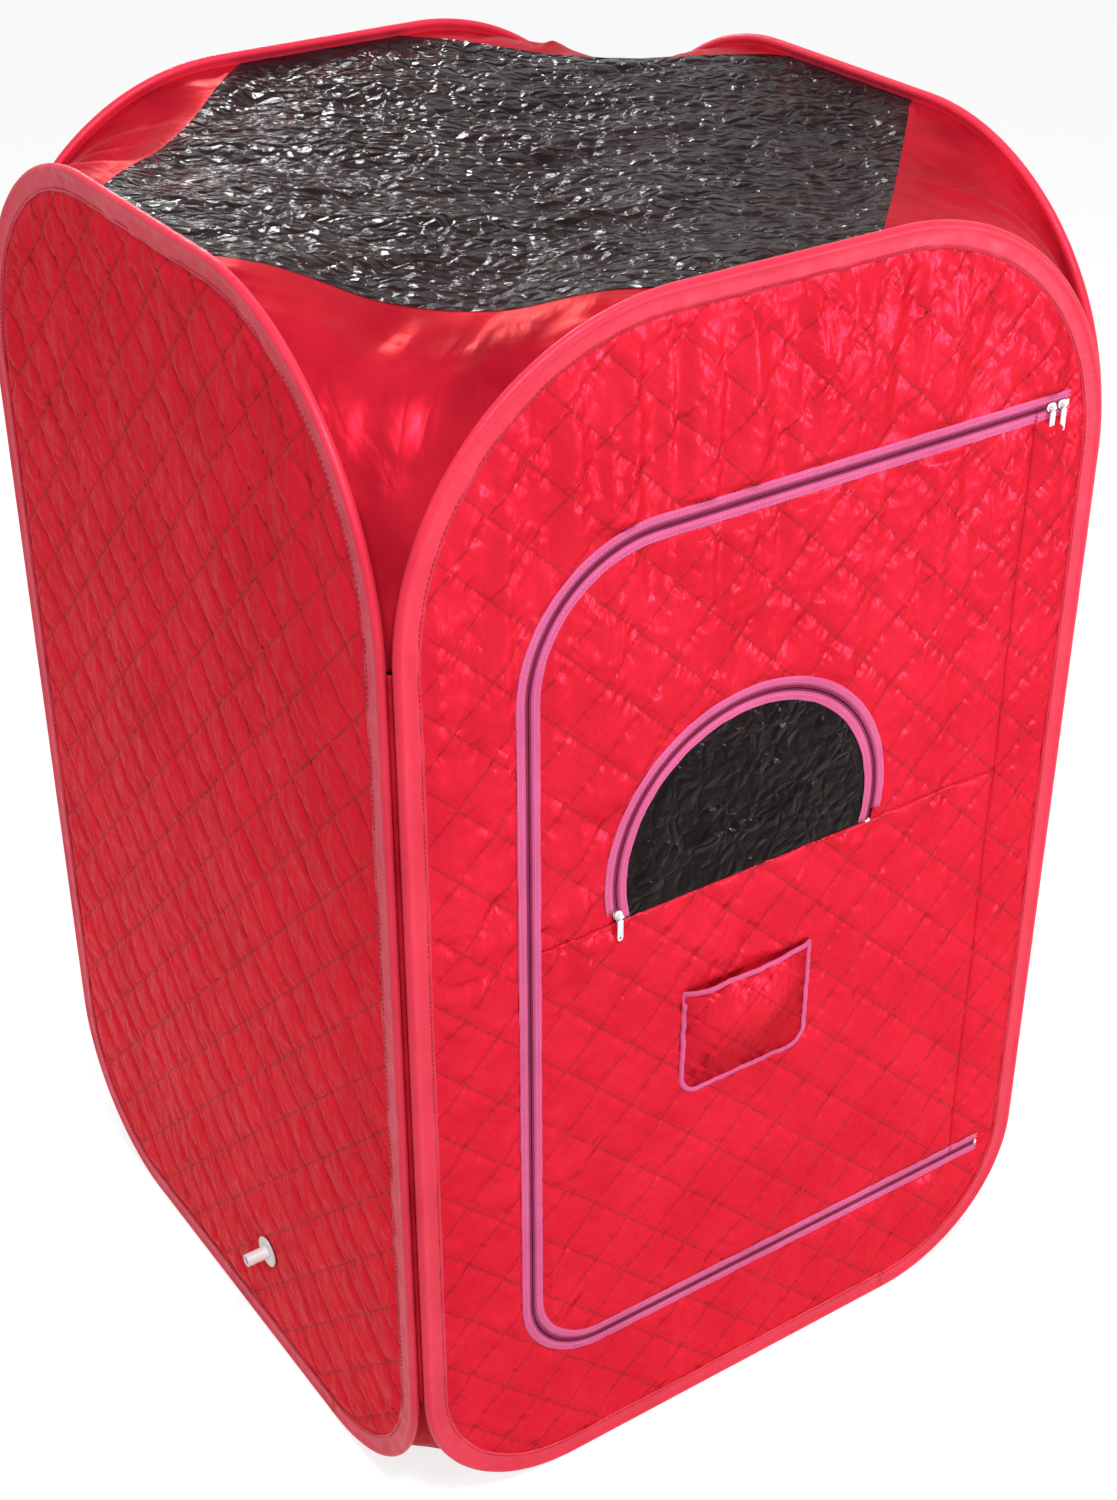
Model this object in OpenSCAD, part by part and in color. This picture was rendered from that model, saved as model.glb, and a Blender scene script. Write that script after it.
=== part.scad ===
// Portable pop-up steam sauna cabin: four spring-hoop walls sewn into a square, a zipped
// door with a zipped window flap, a patch pocket, a roof film and a steam inlet.
// Units are millimetres. +Z is up, the origin is the centre of the floor sheet's underside,
// the front wall faces -Y and the steam inlet is on the left wall, which faces -X.

/* [Cabin] */
// Distance between the mid-planes of the left and right walls
cabin_width = 900; // [720:10:1200]
// Distance between the mid-planes of the front and back walls
cabin_depth = 900; // [720:10:1200]
// Height of the hoops above the ground
cabin_height = 1450; // [1150:10:1900]
// Outer radius of each hoop's upper corners
hoop_top_radius = 310; // [150:5:340]
// Outer radius of each hoop's lower corners
hoop_bottom_radius = 200; // [90:5:300]

/* [Hoop and binding] */
// Diameter of the spring steel wire
wire_diameter = 3; // [2:0.5:4]
// Diameter of the rounded bead of binding that holds the wire
bead_diameter = 11; // [9:0.5:14]
// Width of the folded binding, from the hoop's outer edge inward
binding_width = 28; // [22:1:40]
// Thickness of one layer of binding tape
binding_tape = 0.8; // [0.5:0.1:1.5]
// Space left between two adjacent walls at each corner
corner_gap = 1; // [0.5:0.1:3]
// Length of the sleeve that joins the wire's ends
crimp_length = 32; // [20:1:50]
// Outer diameter of the sleeve that joins the wire's ends
crimp_diameter = 5.2; // [4.6:0.1:7]

/* [Cloth] */
// Thickness of the quilted wall cloth where it is held flat
quilt_thickness = 4.2; // [2:0.1:8]
// Thickness of the waterproof lining inside the wall
lining_thickness = 0.6; // [0.3:0.1:1]
// Thickness of the roof film
film_thickness = 0.5; // [0.3:0.1:1]
// Thickness of the corner gusset cloth
gusset_thickness = 0.6; // [0.4:0.1:1.5]
// Thickness of the floor sheet
floor_thickness = 0.8; // [0.5:0.1:2]
// Level part of each roof gusset, which the roof film is sewn on
roof_ledge = 30; // [10:5:60]
// Part of each floor gusset that slopes down to the floor sheet
floor_ramp = 30; // [10:5:60]

/* [Door] */
// Position of the zip's left run, measured from the wall's middle
door_left = -300; // [-340:5:-200]
// Position of the zips' right ends, measured from the wall's middle
door_zip_end = 386; // [280:2:400]
// Distance from the zips' right ends to the fold line that the door turns on
door_fold_inset = 46; // [40:1:80]
// Height of the zip's top run
door_top = 1210; // [900:5:1500]
// Height of the zip's bottom run
door_bottom = 180; // [100:5:300]
// Radius of the zip's upper corner
door_top_radius = 150; // [60:5:200]
// Radius of the zip's lower corner
door_bottom_radius = 95; // [50:5:200]

/* [Zips] */
// Width of one tape beside the coil
zip_tape_width = 11; // [8:0.5:16]
// Thickness of the tape
zip_tape_thickness = 0.6; // [0.4:0.1:1]
// Width of one half of the coil
zip_coil_width = 2.35; // [1.5:0.05:3]
// Height of the coil, through the cloth
zip_coil_height = 2.4; // [1.6:0.1:3]
// Width of the slit between the two halves of the coil
zip_slit = 1.3; // [1.1:0.1:2]
// Distance from the zip's middle line to the edge of the quilted cloth
zip_cloth_setback = 5.5; // [5.2:0.1:8]
// Length of a zip's end stop
zip_stop_length = 3; // [2:0.5:6]

/* [Window] */
// Position of the window's middle, measured from the wall's middle
window_x = -20; // [-120:5:120]
// Height of the seam across the door, which is the window's base
seam_height = 765; // [500:5:1000]
// Radius of the window zip's arch
window_radius = 174; // [100:2:220]
// Height of the arch's centre above the seam
window_rise = 44; // [30:2:90]

/* [Pocket] */
// Position of the pocket's middle, measured from the wall's middle
pocket_x = -13; // [-150:1:150]
// Height of the pocket's bottom edge
pocket_z = 487; // [300:1:600]
// Width of the pocket
pocket_width = 180; // [120:5:260]
// Height of the pocket
pocket_height = 148; // [100:2:220]
// Depth of the space inside the pocket
pocket_depth = 8; // [5:0.5:30]
// Radius of the pocket's lower corners
pocket_radius = 26; // [10:1:60]
// Thickness of the pocket cloth
pocket_cloth = 1.2; // [0.8:0.1:3]
// Width of the pocket's edge binding
pocket_binding_width = 6; // [4:0.5:12]

/* [Sliders] */
// Length of a slider's body along the zip
slider_length = 13; // [10:0.5:18]
// Width of a slider's body across the zip
slider_width = 9.6; // [8:0.1:10]
// Thickness of a slider's plates
slider_plate = 1.1; // [0.8:0.1:1.5]
// Length of a slider's pull, from its pivot
pull_length = 30; // [20:1:45]
// Width of a slider's pull
pull_width = 7; // [5:0.5:10]

/* [Steam inlet] */
// Position of the inlet towards the front, measured from the left wall's middle
inlet_forward = 90; // [-250:5:250]
// Height of the inlet
inlet_height = 150; // [120:5:400]
// Outer diameter of the hose spigot
spigot_diameter = 16; // [12:0.5:25]
// Length of the hose spigot
spigot_length = 28; // [20:1:80]
// Diameter of the steam passage
inlet_bore = 12; // [8:0.5:20]
// Diameter of the flange outside the wall
flange_diameter = 40; // [30:1:70]
// Thickness of the flange
flange_thickness = 2.5; // [1.5:0.1:5]
// Diameter of the threaded barrel through the wall
barrel_diameter = 19; // [16:0.5:28]
// Thickness of the nut inside the wall
nut_thickness = 5; // [3:0.5:10]

/* [Hidden] */
$fn = 64;
// small clearances shared by every moving fit
running_gap = 0.3;
touch_gap = 0.15;

cloth = quilt_thickness + lining_thickness;
cloth_out = -cloth / 2;
cloth_in = cloth / 2;
lining_out = cloth_in - lining_thickness;
bead_r = bead_diameter / 2;
reach = bead_r + corner_gap;
tape_face = cloth / 2 + binding_tape;
slot_start = bead_diameter + 0.2;
cloth_inset = slot_start + 0.8;
wire_clearance = 0.2;
crimp_clearance = 0.05;

front_wall_width = cabin_width - 2 * reach;
side_wall_width = cabin_depth - 2 * reach;

// zip section: distances from the middle line, and depths through the wall
coil_near = zip_slit / 2;
coil_far = coil_near + zip_coil_width;
// the coil is sewn to the tape's edge, a hair off it
tape_near = coil_far + 0.05;
tape_far = coil_far + zip_tape_width;
tape_out = cloth_out - zip_tape_thickness;
coil_out = tape_out - (zip_coil_height - zip_tape_thickness) / 2;
coil_in = coil_out + zip_coil_height;
stop_lip = 0.2;

door_fold = door_zip_end - door_fold_inset;

// sliders
top_plate_in = coil_out - running_gap;
top_plate_out = top_plate_in - slider_plate;
back_plate_out = coil_in + running_gap;
// the back plate is thinned, to stay within the lining's face
back_plate_in = back_plate_out + slider_plate - 0.1;
web_thickness = zip_slit - 2 * running_gap;
web_length = 6;
bar_diameter = 1.8;
eye_bore = bar_diameter + 0.8;
eye_diameter = 4.6;
eye_width = 4.4;
post_inner = eye_width / 2 + 0.5;
post_size = 1.2;
bar_y = top_plate_out - running_gap - eye_diameter / 2;
pull_thickness = 1.5;
pull_neck = eye_diameter / 2 - 0.4;
slider_right_x = door_zip_end - zip_stop_length - slider_length / 2 - 0.7;
slider_left_x = slider_right_x - slider_length - 3;

// window
window_cz = seam_height + window_rise;
window_slider_up = slider_length / 2 + zip_stop_length;
window_rest_angle = asin((window_rise - window_slider_up) / window_radius);
window_slider_x = window_x - window_radius * cos(window_rest_angle);
window_slider_z = window_cz - window_radius * sin(window_rest_angle);
flap_tape_start = window_slider_up + slider_length / 2 + 1;

// roof and floor
gusset_inset = slot_start + 2.8;
gusset_near = gusset_inset - gusset_thickness / 2;
gusset_far = gusset_inset + gusset_thickness / 2;
film_overlap = 2;
// the roof film lies a hair above the ledges it is sewn on
film_bottom = cabin_height - gusset_near + 0.02;
roof_cut = reach + hoop_top_radius + roof_ledge - film_overlap;
// the floor sheet stops short of the tape, and a floor gusset short of the bead
floor_face = tape_face + 0.4;
floor_cut = reach + hoop_bottom_radius + floor_ramp - film_overlap;
bead_face = bead_r + running_gap;
gusset_split = bead_diameter + 0.5;
arc_steps = 24;

// steam inlet: heights above the wall's middle, outward
gasket_thickness = 1;
gasket_diameter = flange_diameter - 4;
nut_across = flange_diameter - 6;
barrel_past_nut = 2;
flange_face = -cloth_out + gasket_thickness;
barrel_end = -cloth_in - nut_thickness - barrel_past_nut;
inlet_length = flange_face + flange_thickness + spigot_length - barrel_end;

// corner seams
seam_offset = (reach + bead_r) / 2;
seam_span = sqrt(2) * (reach + bead_r) - bead_diameter - 2 * running_gap;
seam_thickness = 2.4;

binding_red = [0.95, 0.30, 0.38];
cloth_red = [0.80, 0.05, 0.12];
film_dark = [0.12, 0.08, 0.08];
zip_pink = [0.92, 0.42, 0.64];
coil_purple = [0.62, 0.22, 0.42];
white_plastic = [0.93, 0.93, 0.93];
steel = [0.62, 0.63, 0.66];

// ---- placing ----

// Puts a wall drawn across X, facing -Y, in its place round the cabin
module on_front() translate([0, -cabin_depth / 2, 0]) children();
module on_left() translate([-cabin_width / 2, 0, 0]) rotate([0, 0, -90]) children();
module on_back() translate([0, cabin_depth / 2, 0]) rotate([0, 0, 180]) children();
module on_right() translate([cabin_width / 2, 0, 0]) rotate([0, 0, 90]) children();

// Puts a corner piece, drawn with its walls on x = 0 and y = 0, in its place
module at_front_left() translate([-cabin_width / 2, -cabin_depth / 2, 0]) children();
module at_front_right()
    translate([cabin_width / 2, -cabin_depth / 2, 0]) rotate([0, 0, 90]) children();
module at_back_right()
    translate([cabin_width / 2, cabin_depth / 2, 0]) rotate([0, 0, 180]) children();
module at_back_left()
    translate([-cabin_width / 2, cabin_depth / 2, 0]) rotate([0, 0, 270]) children();

// Gives an outline drawn across X and up Z a thickness from y = from to y = to
module slab(from, to)
    translate([0, to, 0]) rotate([90, 0, 0]) linear_extrude(to - from) children();

// ---- walls ----

// The area inside a hoop, inset from its outer edge
module hoop_area(width, inset) {
    top_r = hoop_top_radius - inset;
    low_r = hoop_bottom_radius - inset;
    top_x = width / 2 - hoop_top_radius;
    low_x = width / 2 - hoop_bottom_radius;
    straight = cabin_height - hoop_top_radius - hoop_bottom_radius;
    translate([-width / 2 + inset, hoop_bottom_radius]) square([width - 2 * inset, straight]);
    translate([-top_x, cabin_height - hoop_top_radius]) square([2 * top_x, top_r]);
    translate([-low_x, inset]) square([2 * low_x, low_r]);
    for (side = [-1, 1]) {
        translate([side * top_x, cabin_height - hoop_top_radius]) circle(r = top_r);
        translate([side * low_x, hoop_bottom_radius]) circle(r = low_r);
    }
}

// Sweeps a profile round a hoop. The profile's x is the distance in from the outer edge.
module hoop_sweep(width) {
    top_x = width / 2 - hoop_top_radius;
    low_x = width / 2 - hoop_bottom_radius;
    high_z = cabin_height - hoop_top_radius;
    rotate([90, 0, 0]) {
        translate([top_x, high_z, 0]) hoop_corner(hoop_top_radius) children();
        translate([-top_x, high_z, 0])
            rotate([0, 0, 90]) hoop_corner(hoop_top_radius) children();
        translate([-low_x, hoop_bottom_radius, 0])
            rotate([0, 0, 180]) hoop_corner(hoop_bottom_radius) children();
        translate([low_x, hoop_bottom_radius, 0])
            rotate([0, 0, 270]) hoop_corner(hoop_bottom_radius) children();
        translate([width / 2, hoop_bottom_radius, 0])
            hoop_run(high_z - hoop_bottom_radius) children();
        translate([-width / 2, high_z, 0])
            rotate([0, 0, 180]) hoop_run(high_z - hoop_bottom_radius) children();
        translate([top_x, cabin_height, 0]) rotate([0, 0, 90]) hoop_run(2 * top_x) children();
        translate([-low_x, 0, 0]) rotate([0, 0, 270]) hoop_run(2 * low_x) children();
    }
}

// A quarter turn of a hoop
module hoop_corner(radius)
    rotate_extrude(angle = 90) translate([radius, 0]) rotate(180) children();

// A straight run of a hoop, along +Y, with its outer edge on x = 0
module hoop_run(length) rotate([-90, 0, 0]) linear_extrude(length) rotate(180) children();

module binding_profile() {
    difference() {
        union() {
            translate([bead_r, 0]) circle(d = bead_diameter);
            translate([bead_r, -tape_face]) square([binding_width - bead_r, 2 * tape_face]);
        }
        translate([slot_start, -cloth / 2]) square([binding_width, cloth]);
        translate([bead_r, 0]) circle(d = wire_diameter + 2 * wire_clearance);
    }
}

module binding(width) {
    difference() {
        hoop_sweep(width) binding_profile();
        translate([-crimp_length / 2 - 1, 0, bead_r])
            rotate([0, 90, 0])
                cylinder(d = crimp_diameter + 2 * wire_clearance, h = crimp_length + 2);
    }
}

module wire(width) hoop_sweep(width) translate([bead_r, 0]) circle(d = wire_diameter);

module wire_crimp() {
    translate([-crimp_length / 2, 0, bead_r]) rotate([0, 90, 0]) difference() {
        cylinder(d = crimp_diameter, h = crimp_length);
        translate([0, 0, -1])
            cylinder(d = wire_diameter + 2 * crimp_clearance, h = crimp_length + 2);
    }
}

module plain_panel(width) slab(cloth_out, lining_out) hoop_area(width, cloth_inset);
module plain_lining(width) slab(lining_out, cloth_in) hoop_area(width, cloth_inset);

// The hole for the steam inlet, in the left wall's own directions
module inlet_hole()
    translate([inlet_forward, inlet_height]) circle(d = barrel_diameter + 2 * running_gap);

// ---- door ----

// The area inside the door zip, grown by a distance, as far right as an end line
module door_area(grow, end) {
    top_r = door_top_radius + grow;
    low_r = door_bottom_radius + grow;
    top_cx = door_left + door_top_radius;
    low_cx = door_left + door_bottom_radius;
    top_cz = door_top - door_top_radius;
    low_cz = door_bottom + door_bottom_radius;
    translate([door_left - grow, low_cz]) square([end - door_left + grow, top_cz - low_cz]);
    translate([top_cx, top_cz]) square([end - top_cx, top_r]);
    translate([low_cx, low_cz - low_r]) square([end - low_cx, low_r]);
    translate([top_cx, top_cz]) circle(r = top_r);
    translate([low_cx, low_cz]) circle(r = low_r);
}

// The area left or right of the fold line
module beside_fold(side)
    translate([door_fold + (side < 0 ? -2 * cabin_width - touch_gap : touch_gap), 0])
        square([2 * cabin_width, cabin_height]);

// The doorway: all that is cut out of the front wall
module doorway_area() {
    difference() {
        door_area(zip_cloth_setback, door_zip_end);
        intersection() {
            door_area(-zip_cloth_setback, door_zip_end + 1);
            beside_fold(1);
        }
    }
}

module door_cloth_area() {
    intersection() {
        door_area(-zip_cloth_setback, door_zip_end);
        beside_fold(-1);
    }
}

module front_cloth(from, to) {
    slab(from, to) difference() {
        hoop_area(front_wall_width, cloth_inset);
        doorway_area();
    }
}

// A band of the door zip between two distances from its middle line
module door_band(near, far, end) {
    difference() {
        door_area(max(near, far), end);
        door_area(min(near, far), end + 1);
    }
}

// ---- window ----

// The area inside the window zip, grown by a distance and cut off at a height over the seam
module window_area(grow, base) {
    intersection() {
        translate([window_x, window_cz]) circle(r = window_radius + grow);
        translate([window_x - 2 * window_radius, seam_height + base])
            square([4 * window_radius, 4 * window_radius]);
    }
}

module window_band(near, far, base) {
    difference() {
        window_area(max(near, far), base);
        window_area(min(near, far), base - 1);
    }
}

// ---- sliders ----

module slider_outline() {
    square([slider_length - slider_width, slider_width], center = true);
    for (side = [-1, 1])
        translate([side * (slider_length - slider_width) / 2, 0]) circle(d = slider_width);
}

// A slider's body, centred on the zip, with its bail's bar along X whatever way the zip runs
module slider_body(zip_angle) {
    slab(top_plate_out, top_plate_in) rotate(zip_angle) slider_outline();
    slab(back_plate_out, back_plate_in) rotate(zip_angle) slider_outline();
    slab(top_plate_in, back_plate_out)
        rotate(zip_angle) square([web_length, web_thickness], center = true);
    for (side = [-1, 1])
        slab(bar_y - bar_diameter / 2, top_plate_out)
            translate([side * (post_inner + post_size / 2), 0])
                square([post_size, bar_diameter], center = true);
    translate([-post_inner - post_size, bar_y, 0])
        rotate([0, 90, 0]) cylinder(d = bar_diameter, h = 2 * (post_inner + post_size));
}

// A pull hanging from the bail's bar
module slider_pull() {
    translate([0, bar_y, 0]) {
        difference() {
            union() {
                translate([-eye_width / 2, 0, 0])
                    rotate([0, 90, 0]) cylinder(d = eye_diameter, h = eye_width);
                slab(-pull_thickness / 2, pull_thickness / 2) pull_outline();
            }
            translate([-eye_width, 0, 0])
                rotate([0, 90, 0]) cylinder(d = eye_bore, h = 2 * eye_width);
        }
    }
}

module pull_outline() {
    end_z = -pull_length + pull_width / 2;
    difference() {
        union() {
            translate([-eye_width / 2, -3 * pull_neck]) square([eye_width, 3 * pull_neck]);
            translate([-pull_width / 2, end_z]) square([pull_width, -end_z - 3 * pull_neck + 1]);
            translate([0, end_z]) circle(d = pull_width);
        }
        translate([0, end_z]) circle(d = pull_width / 2);
    }
}

// ---- pocket ----

module pocket_outline(inset, top) {
    radius = pocket_radius - inset;
    side = pocket_width / 2 - pocket_radius;
    translate([pocket_x - pocket_width / 2 + inset, pocket_z + pocket_radius])
        square([pocket_width - 2 * inset, pocket_height - pocket_radius + top]);
    translate([pocket_x - side, pocket_z + inset]) square([2 * side, radius]);
    for (hand = [-1, 1])
        translate([pocket_x + hand * side, pocket_z + pocket_radius]) circle(r = radius);
}

// ---- roof and floor ----

// An eight-sided sheet: the space between the walls, less a cut across each corner
module cabin_octagon(face, cut) {
    hx = cabin_width / 2 - face;
    hy = cabin_depth / 2 - face;
    cx = cabin_width / 2 + face - cut;
    cy = cabin_depth / 2 + face - cut;
    polygon([
        [-cx, -hy], [cx, -hy], [hx, -cy], [hx, cy],
        [cx, hy], [-cx, hy], [-hx, cy], [-hx, -cy]
    ]);
}

// A point of a gusset's curve: how far it is along the diagonal, and its height
function roof_point(angle, inset) = [
    (reach + hoop_top_radius - (hoop_top_radius - inset) * cos(angle)) / sqrt(2),
    cabin_height - hoop_top_radius + (hoop_top_radius - inset) * sin(angle)
];
function floor_point(angle, inset) = [
    (reach + hoop_bottom_radius - (hoop_bottom_radius - inset) * cos(angle)) / sqrt(2),
    hoop_bottom_radius - (hoop_bottom_radius - inset) * sin(angle)
];
function ledge_end(inset) = [
    (reach + hoop_top_radius + roof_ledge) / sqrt(2), cabin_height - inset
];
function ramp_end(lift) = [
    (reach + hoop_bottom_radius + floor_ramp) / sqrt(2), floor_thickness + lift
];

// A sheet that spans a corner, curved as its outline is, cut off at the two walls' faces
module corner_sheet(face, low, high) {
    intersection() {
        rotate([90, 0, 45]) linear_extrude(2 * cabin_width, center = true) children();
        translate([face, face, low]) cube([cabin_width, cabin_width, high - low]);
    }
}

module roof_gusset() {
    corner_sheet(tape_face, 0, cabin_height) polygon(concat(
        [for (i = [0:arc_steps]) roof_point(90 * i / arc_steps, gusset_near)],
        [ledge_end(gusset_near), ledge_end(gusset_far)],
        [for (i = [arc_steps:-1:0]) roof_point(90 * i / arc_steps, gusset_far)]
    ));
}

module floor_gusset_outline() {
    polygon(concat(
        [for (i = [0:arc_steps]) floor_point(90 * i / arc_steps, gusset_near)],
        [ramp_end(0), ramp_end(gusset_thickness)],
        [for (i = [arc_steps:-1:0]) floor_point(90 * i / arc_steps, gusset_far)]
    ));
}

module floor_gusset() {
    corner_sheet(tape_face, gusset_split, cabin_height) floor_gusset_outline();
    corner_sheet(bead_face, 0, gusset_split) floor_gusset_outline();
}

// The stitched strip that joins two walls' beads at a corner
module corner_seam() {
    translate([seam_offset, seam_offset, hoop_bottom_radius])
        rotate([0, 0, -45])
            translate([-seam_span / 2, -seam_thickness / 2, 0])
                cube([
                    seam_span, seam_thickness,
                    cabin_height - hoop_top_radius - hoop_bottom_radius
                ]);
}

// ---- sub-parts ----

module front_wire() color(steel) on_front() wire(front_wall_width);
module front_wire_crimp() color(steel) on_front() wire_crimp();
module front_binding() color(binding_red) on_front() binding(front_wall_width);
module front_panel() color(cloth_red) on_front() front_cloth(cloth_out, lining_out);
module front_lining() color(film_dark) on_front() front_cloth(lining_out, cloth_in);

module left_wire() color(steel) on_left() wire(side_wall_width);
module left_wire_crimp() color(steel) on_left() wire_crimp();
module left_binding() color(binding_red) on_left() binding(side_wall_width);
module left_panel() color(cloth_red) on_left() slab(cloth_out, lining_out) difference() {
    hoop_area(side_wall_width, cloth_inset);
    inlet_hole();
}
module left_lining() color(film_dark) on_left() slab(lining_out, cloth_in) difference() {
    hoop_area(side_wall_width, cloth_inset);
    inlet_hole();
}

module back_wire() color(steel) on_back() wire(front_wall_width);
module back_wire_crimp() color(steel) on_back() wire_crimp();
module back_binding() color(binding_red) on_back() binding(front_wall_width);
module back_panel() color(cloth_red) on_back() plain_panel(front_wall_width);
module back_lining() color(film_dark) on_back() plain_lining(front_wall_width);

module right_wire() color(steel) on_right() wire(side_wall_width);
module right_wire_crimp() color(steel) on_right() wire_crimp();
module right_binding() color(binding_red) on_right() binding(side_wall_width);
module right_panel() color(cloth_red) on_right() plain_panel(side_wall_width);
module right_lining() color(film_dark) on_right() plain_lining(side_wall_width);

module door_upper_panel() color(cloth_red) on_front() slab(cloth_out, lining_out) difference() {
    intersection() {
        door_cloth_area();
        translate([-cabin_width, seam_height]) square([2 * cabin_width, cabin_height]);
    }
    window_area(zip_cloth_setback, -1);
}
module door_lower_panel() color(cloth_red) on_front() slab(cloth_out, lining_out) intersection() {
    door_cloth_area();
    translate([-cabin_width, 0]) square([2 * cabin_width, seam_height]);
}
module door_lining() color(film_dark) on_front() slab(lining_out, cloth_in) difference() {
    door_cloth_area();
    window_area(zip_cloth_setback, 0);
}

module door_zip_frame_tape() color(zip_pink) on_front() slab(tape_out, cloth_out) {
    door_band(tape_near, tape_far, door_zip_end);
    intersection() {
        door_band(-tape_near, -tape_far, door_zip_end);
        beside_fold(1);
    }
}
module door_zip_frame_coil() color(coil_purple) on_front() slab(coil_out, coil_in) {
    door_band(coil_near, coil_far, door_zip_end - zip_stop_length - stop_lip);
    intersection() {
        door_band(-coil_near, -coil_far, door_zip_end - zip_stop_length - stop_lip);
        beside_fold(1);
    }
}
module door_zip_door_tape() color(zip_pink) on_front() slab(tape_out, cloth_out) intersection() {
    door_band(-tape_near, -tape_far, door_zip_end);
    beside_fold(-1);
}
module door_zip_door_coil() color(coil_purple) on_front() slab(coil_out, coil_in) intersection() {
    door_band(-coil_near, -coil_far, door_zip_end);
    beside_fold(-1);
}
module door_zip_stops() color(white_plastic) on_front()
    for (height = [door_top, door_bottom])
        slab(coil_out - stop_lip, coil_in + stop_lip)
            translate([door_zip_end - zip_stop_length, height - coil_far])
                square([zip_stop_length, 2 * coil_far]);

module door_slider_right() color(white_plastic) on_front()
    translate([slider_right_x, 0, door_top]) slider_body(0);
module door_slider_left() color(white_plastic) on_front()
    translate([slider_left_x, 0, door_top]) slider_body(0);
module door_pull_right() color(white_plastic) on_front()
    translate([slider_right_x, 0, door_top]) slider_pull();
module door_pull_left() color(white_plastic) on_front()
    translate([slider_left_x, 0, door_top]) slider_pull();

module window_film() color(film_dark) on_front()
    slab(cloth_out, cloth_out + film_thickness) window_area(-zip_cloth_setback, touch_gap);
module window_zip_door_tape() color(zip_pink) on_front()
    slab(tape_out, cloth_out) window_band(tape_near, tape_far, touch_gap);
module window_zip_door_coil() color(coil_purple) on_front()
    slab(coil_out, coil_in) window_band(coil_near, coil_far, zip_stop_length);
module window_zip_flap_tape() color(zip_pink) on_front()
    slab(tape_out, cloth_out) window_band(-tape_near, -tape_far, flap_tape_start);
module window_zip_flap_coil() color(coil_purple) on_front()
    slab(coil_out, coil_in) window_band(-coil_near, -coil_far, flap_tape_start);
module window_zip_stops() color(white_plastic) on_front()
    slab(coil_out - stop_lip, coil_in + stop_lip) intersection() {
        window_band(-coil_far, coil_far, touch_gap);
        translate([window_x - cabin_width, seam_height])
            square([2 * cabin_width, zip_stop_length - stop_lip]);
    }
module window_slider() color(white_plastic) on_front()
    translate([window_slider_x, 0, window_slider_z]) slider_body(90 + window_rest_angle);
module window_pull() color(white_plastic) on_front()
    translate([window_slider_x, 0, window_slider_z]) slider_pull();

module pocket_pouch() color(cloth_red) on_front() {
    face = cloth_out - pocket_depth;
    slab(face - pocket_cloth, face) pocket_outline(0, 0);
    slab(face - 0.1, cloth_out) difference() {
        pocket_outline(0, 0);
        pocket_outline(pocket_cloth, 1);
    }
}
module pocket_binding() color(zip_pink) on_front() {
    face = cloth_out - pocket_depth - pocket_cloth;
    slab(face - pocket_cloth, face) difference() {
        pocket_outline(0, 0);
        pocket_outline(pocket_binding_width, -pocket_binding_width);
    }
}

module inlet_place() on_left() translate([inlet_forward, 0, inlet_height]) rotate([90, 0, 0])
    children();
module steam_inlet() color(white_plastic) inlet_place() difference() {
    union() {
        translate([0, 0, flange_face]) cylinder(d = flange_diameter, h = flange_thickness);
        translate([0, 0, flange_face])
            cylinder(d = spigot_diameter, h = flange_thickness + spigot_length);
        translate([0, 0, barrel_end])
            cylinder(d = barrel_diameter, h = flange_face - barrel_end + flange_thickness / 2);
    }
    translate([0, 0, barrel_end - 1]) cylinder(d = inlet_bore, h = inlet_length + 2);
}
module steam_inlet_gasket() color(film_dark) inlet_place() difference() {
    translate([0, 0, -cloth_out]) cylinder(d = gasket_diameter, h = gasket_thickness);
    translate([0, 0, -cloth_out - 1])
        cylinder(d = barrel_diameter + 2 * running_gap, h = gasket_thickness + 2);
}
module steam_inlet_nut() color(white_plastic) inlet_place() difference() {
    translate([0, 0, -cloth_in - nut_thickness])
        cylinder(d = nut_across, h = nut_thickness, $fn = 6);
    translate([0, 0, -cloth_in - nut_thickness - 1])
        cylinder(d = barrel_diameter + 2 * crimp_clearance, h = nut_thickness + 2);
}

module roof_film() color(film_dark)
    translate([0, 0, film_bottom]) linear_extrude(film_thickness)
        cabin_octagon(tape_face, roof_cut);
module roof_gusset_front_left() color(cloth_red) at_front_left() roof_gusset();
module roof_gusset_front_right() color(cloth_red) at_front_right() roof_gusset();
module roof_gusset_back_left() color(cloth_red) at_back_left() roof_gusset();
module roof_gusset_back_right() color(cloth_red) at_back_right() roof_gusset();

module floor_sheet() color(film_dark)
    linear_extrude(floor_thickness) cabin_octagon(floor_face, floor_cut);
module floor_gusset_front_left() color(cloth_red) at_front_left() floor_gusset();
module floor_gusset_front_right() color(cloth_red) at_front_right() floor_gusset();
module floor_gusset_back_left() color(cloth_red) at_back_left() floor_gusset();
module floor_gusset_back_right() color(cloth_red) at_back_right() floor_gusset();

module corner_seam_front_left() color(binding_red) at_front_left() corner_seam();
module corner_seam_front_right() color(binding_red) at_front_right() corner_seam();
module corner_seam_back_left() color(binding_red) at_back_left() corner_seam();
module corner_seam_back_right() color(binding_red) at_back_right() corner_seam();

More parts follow.
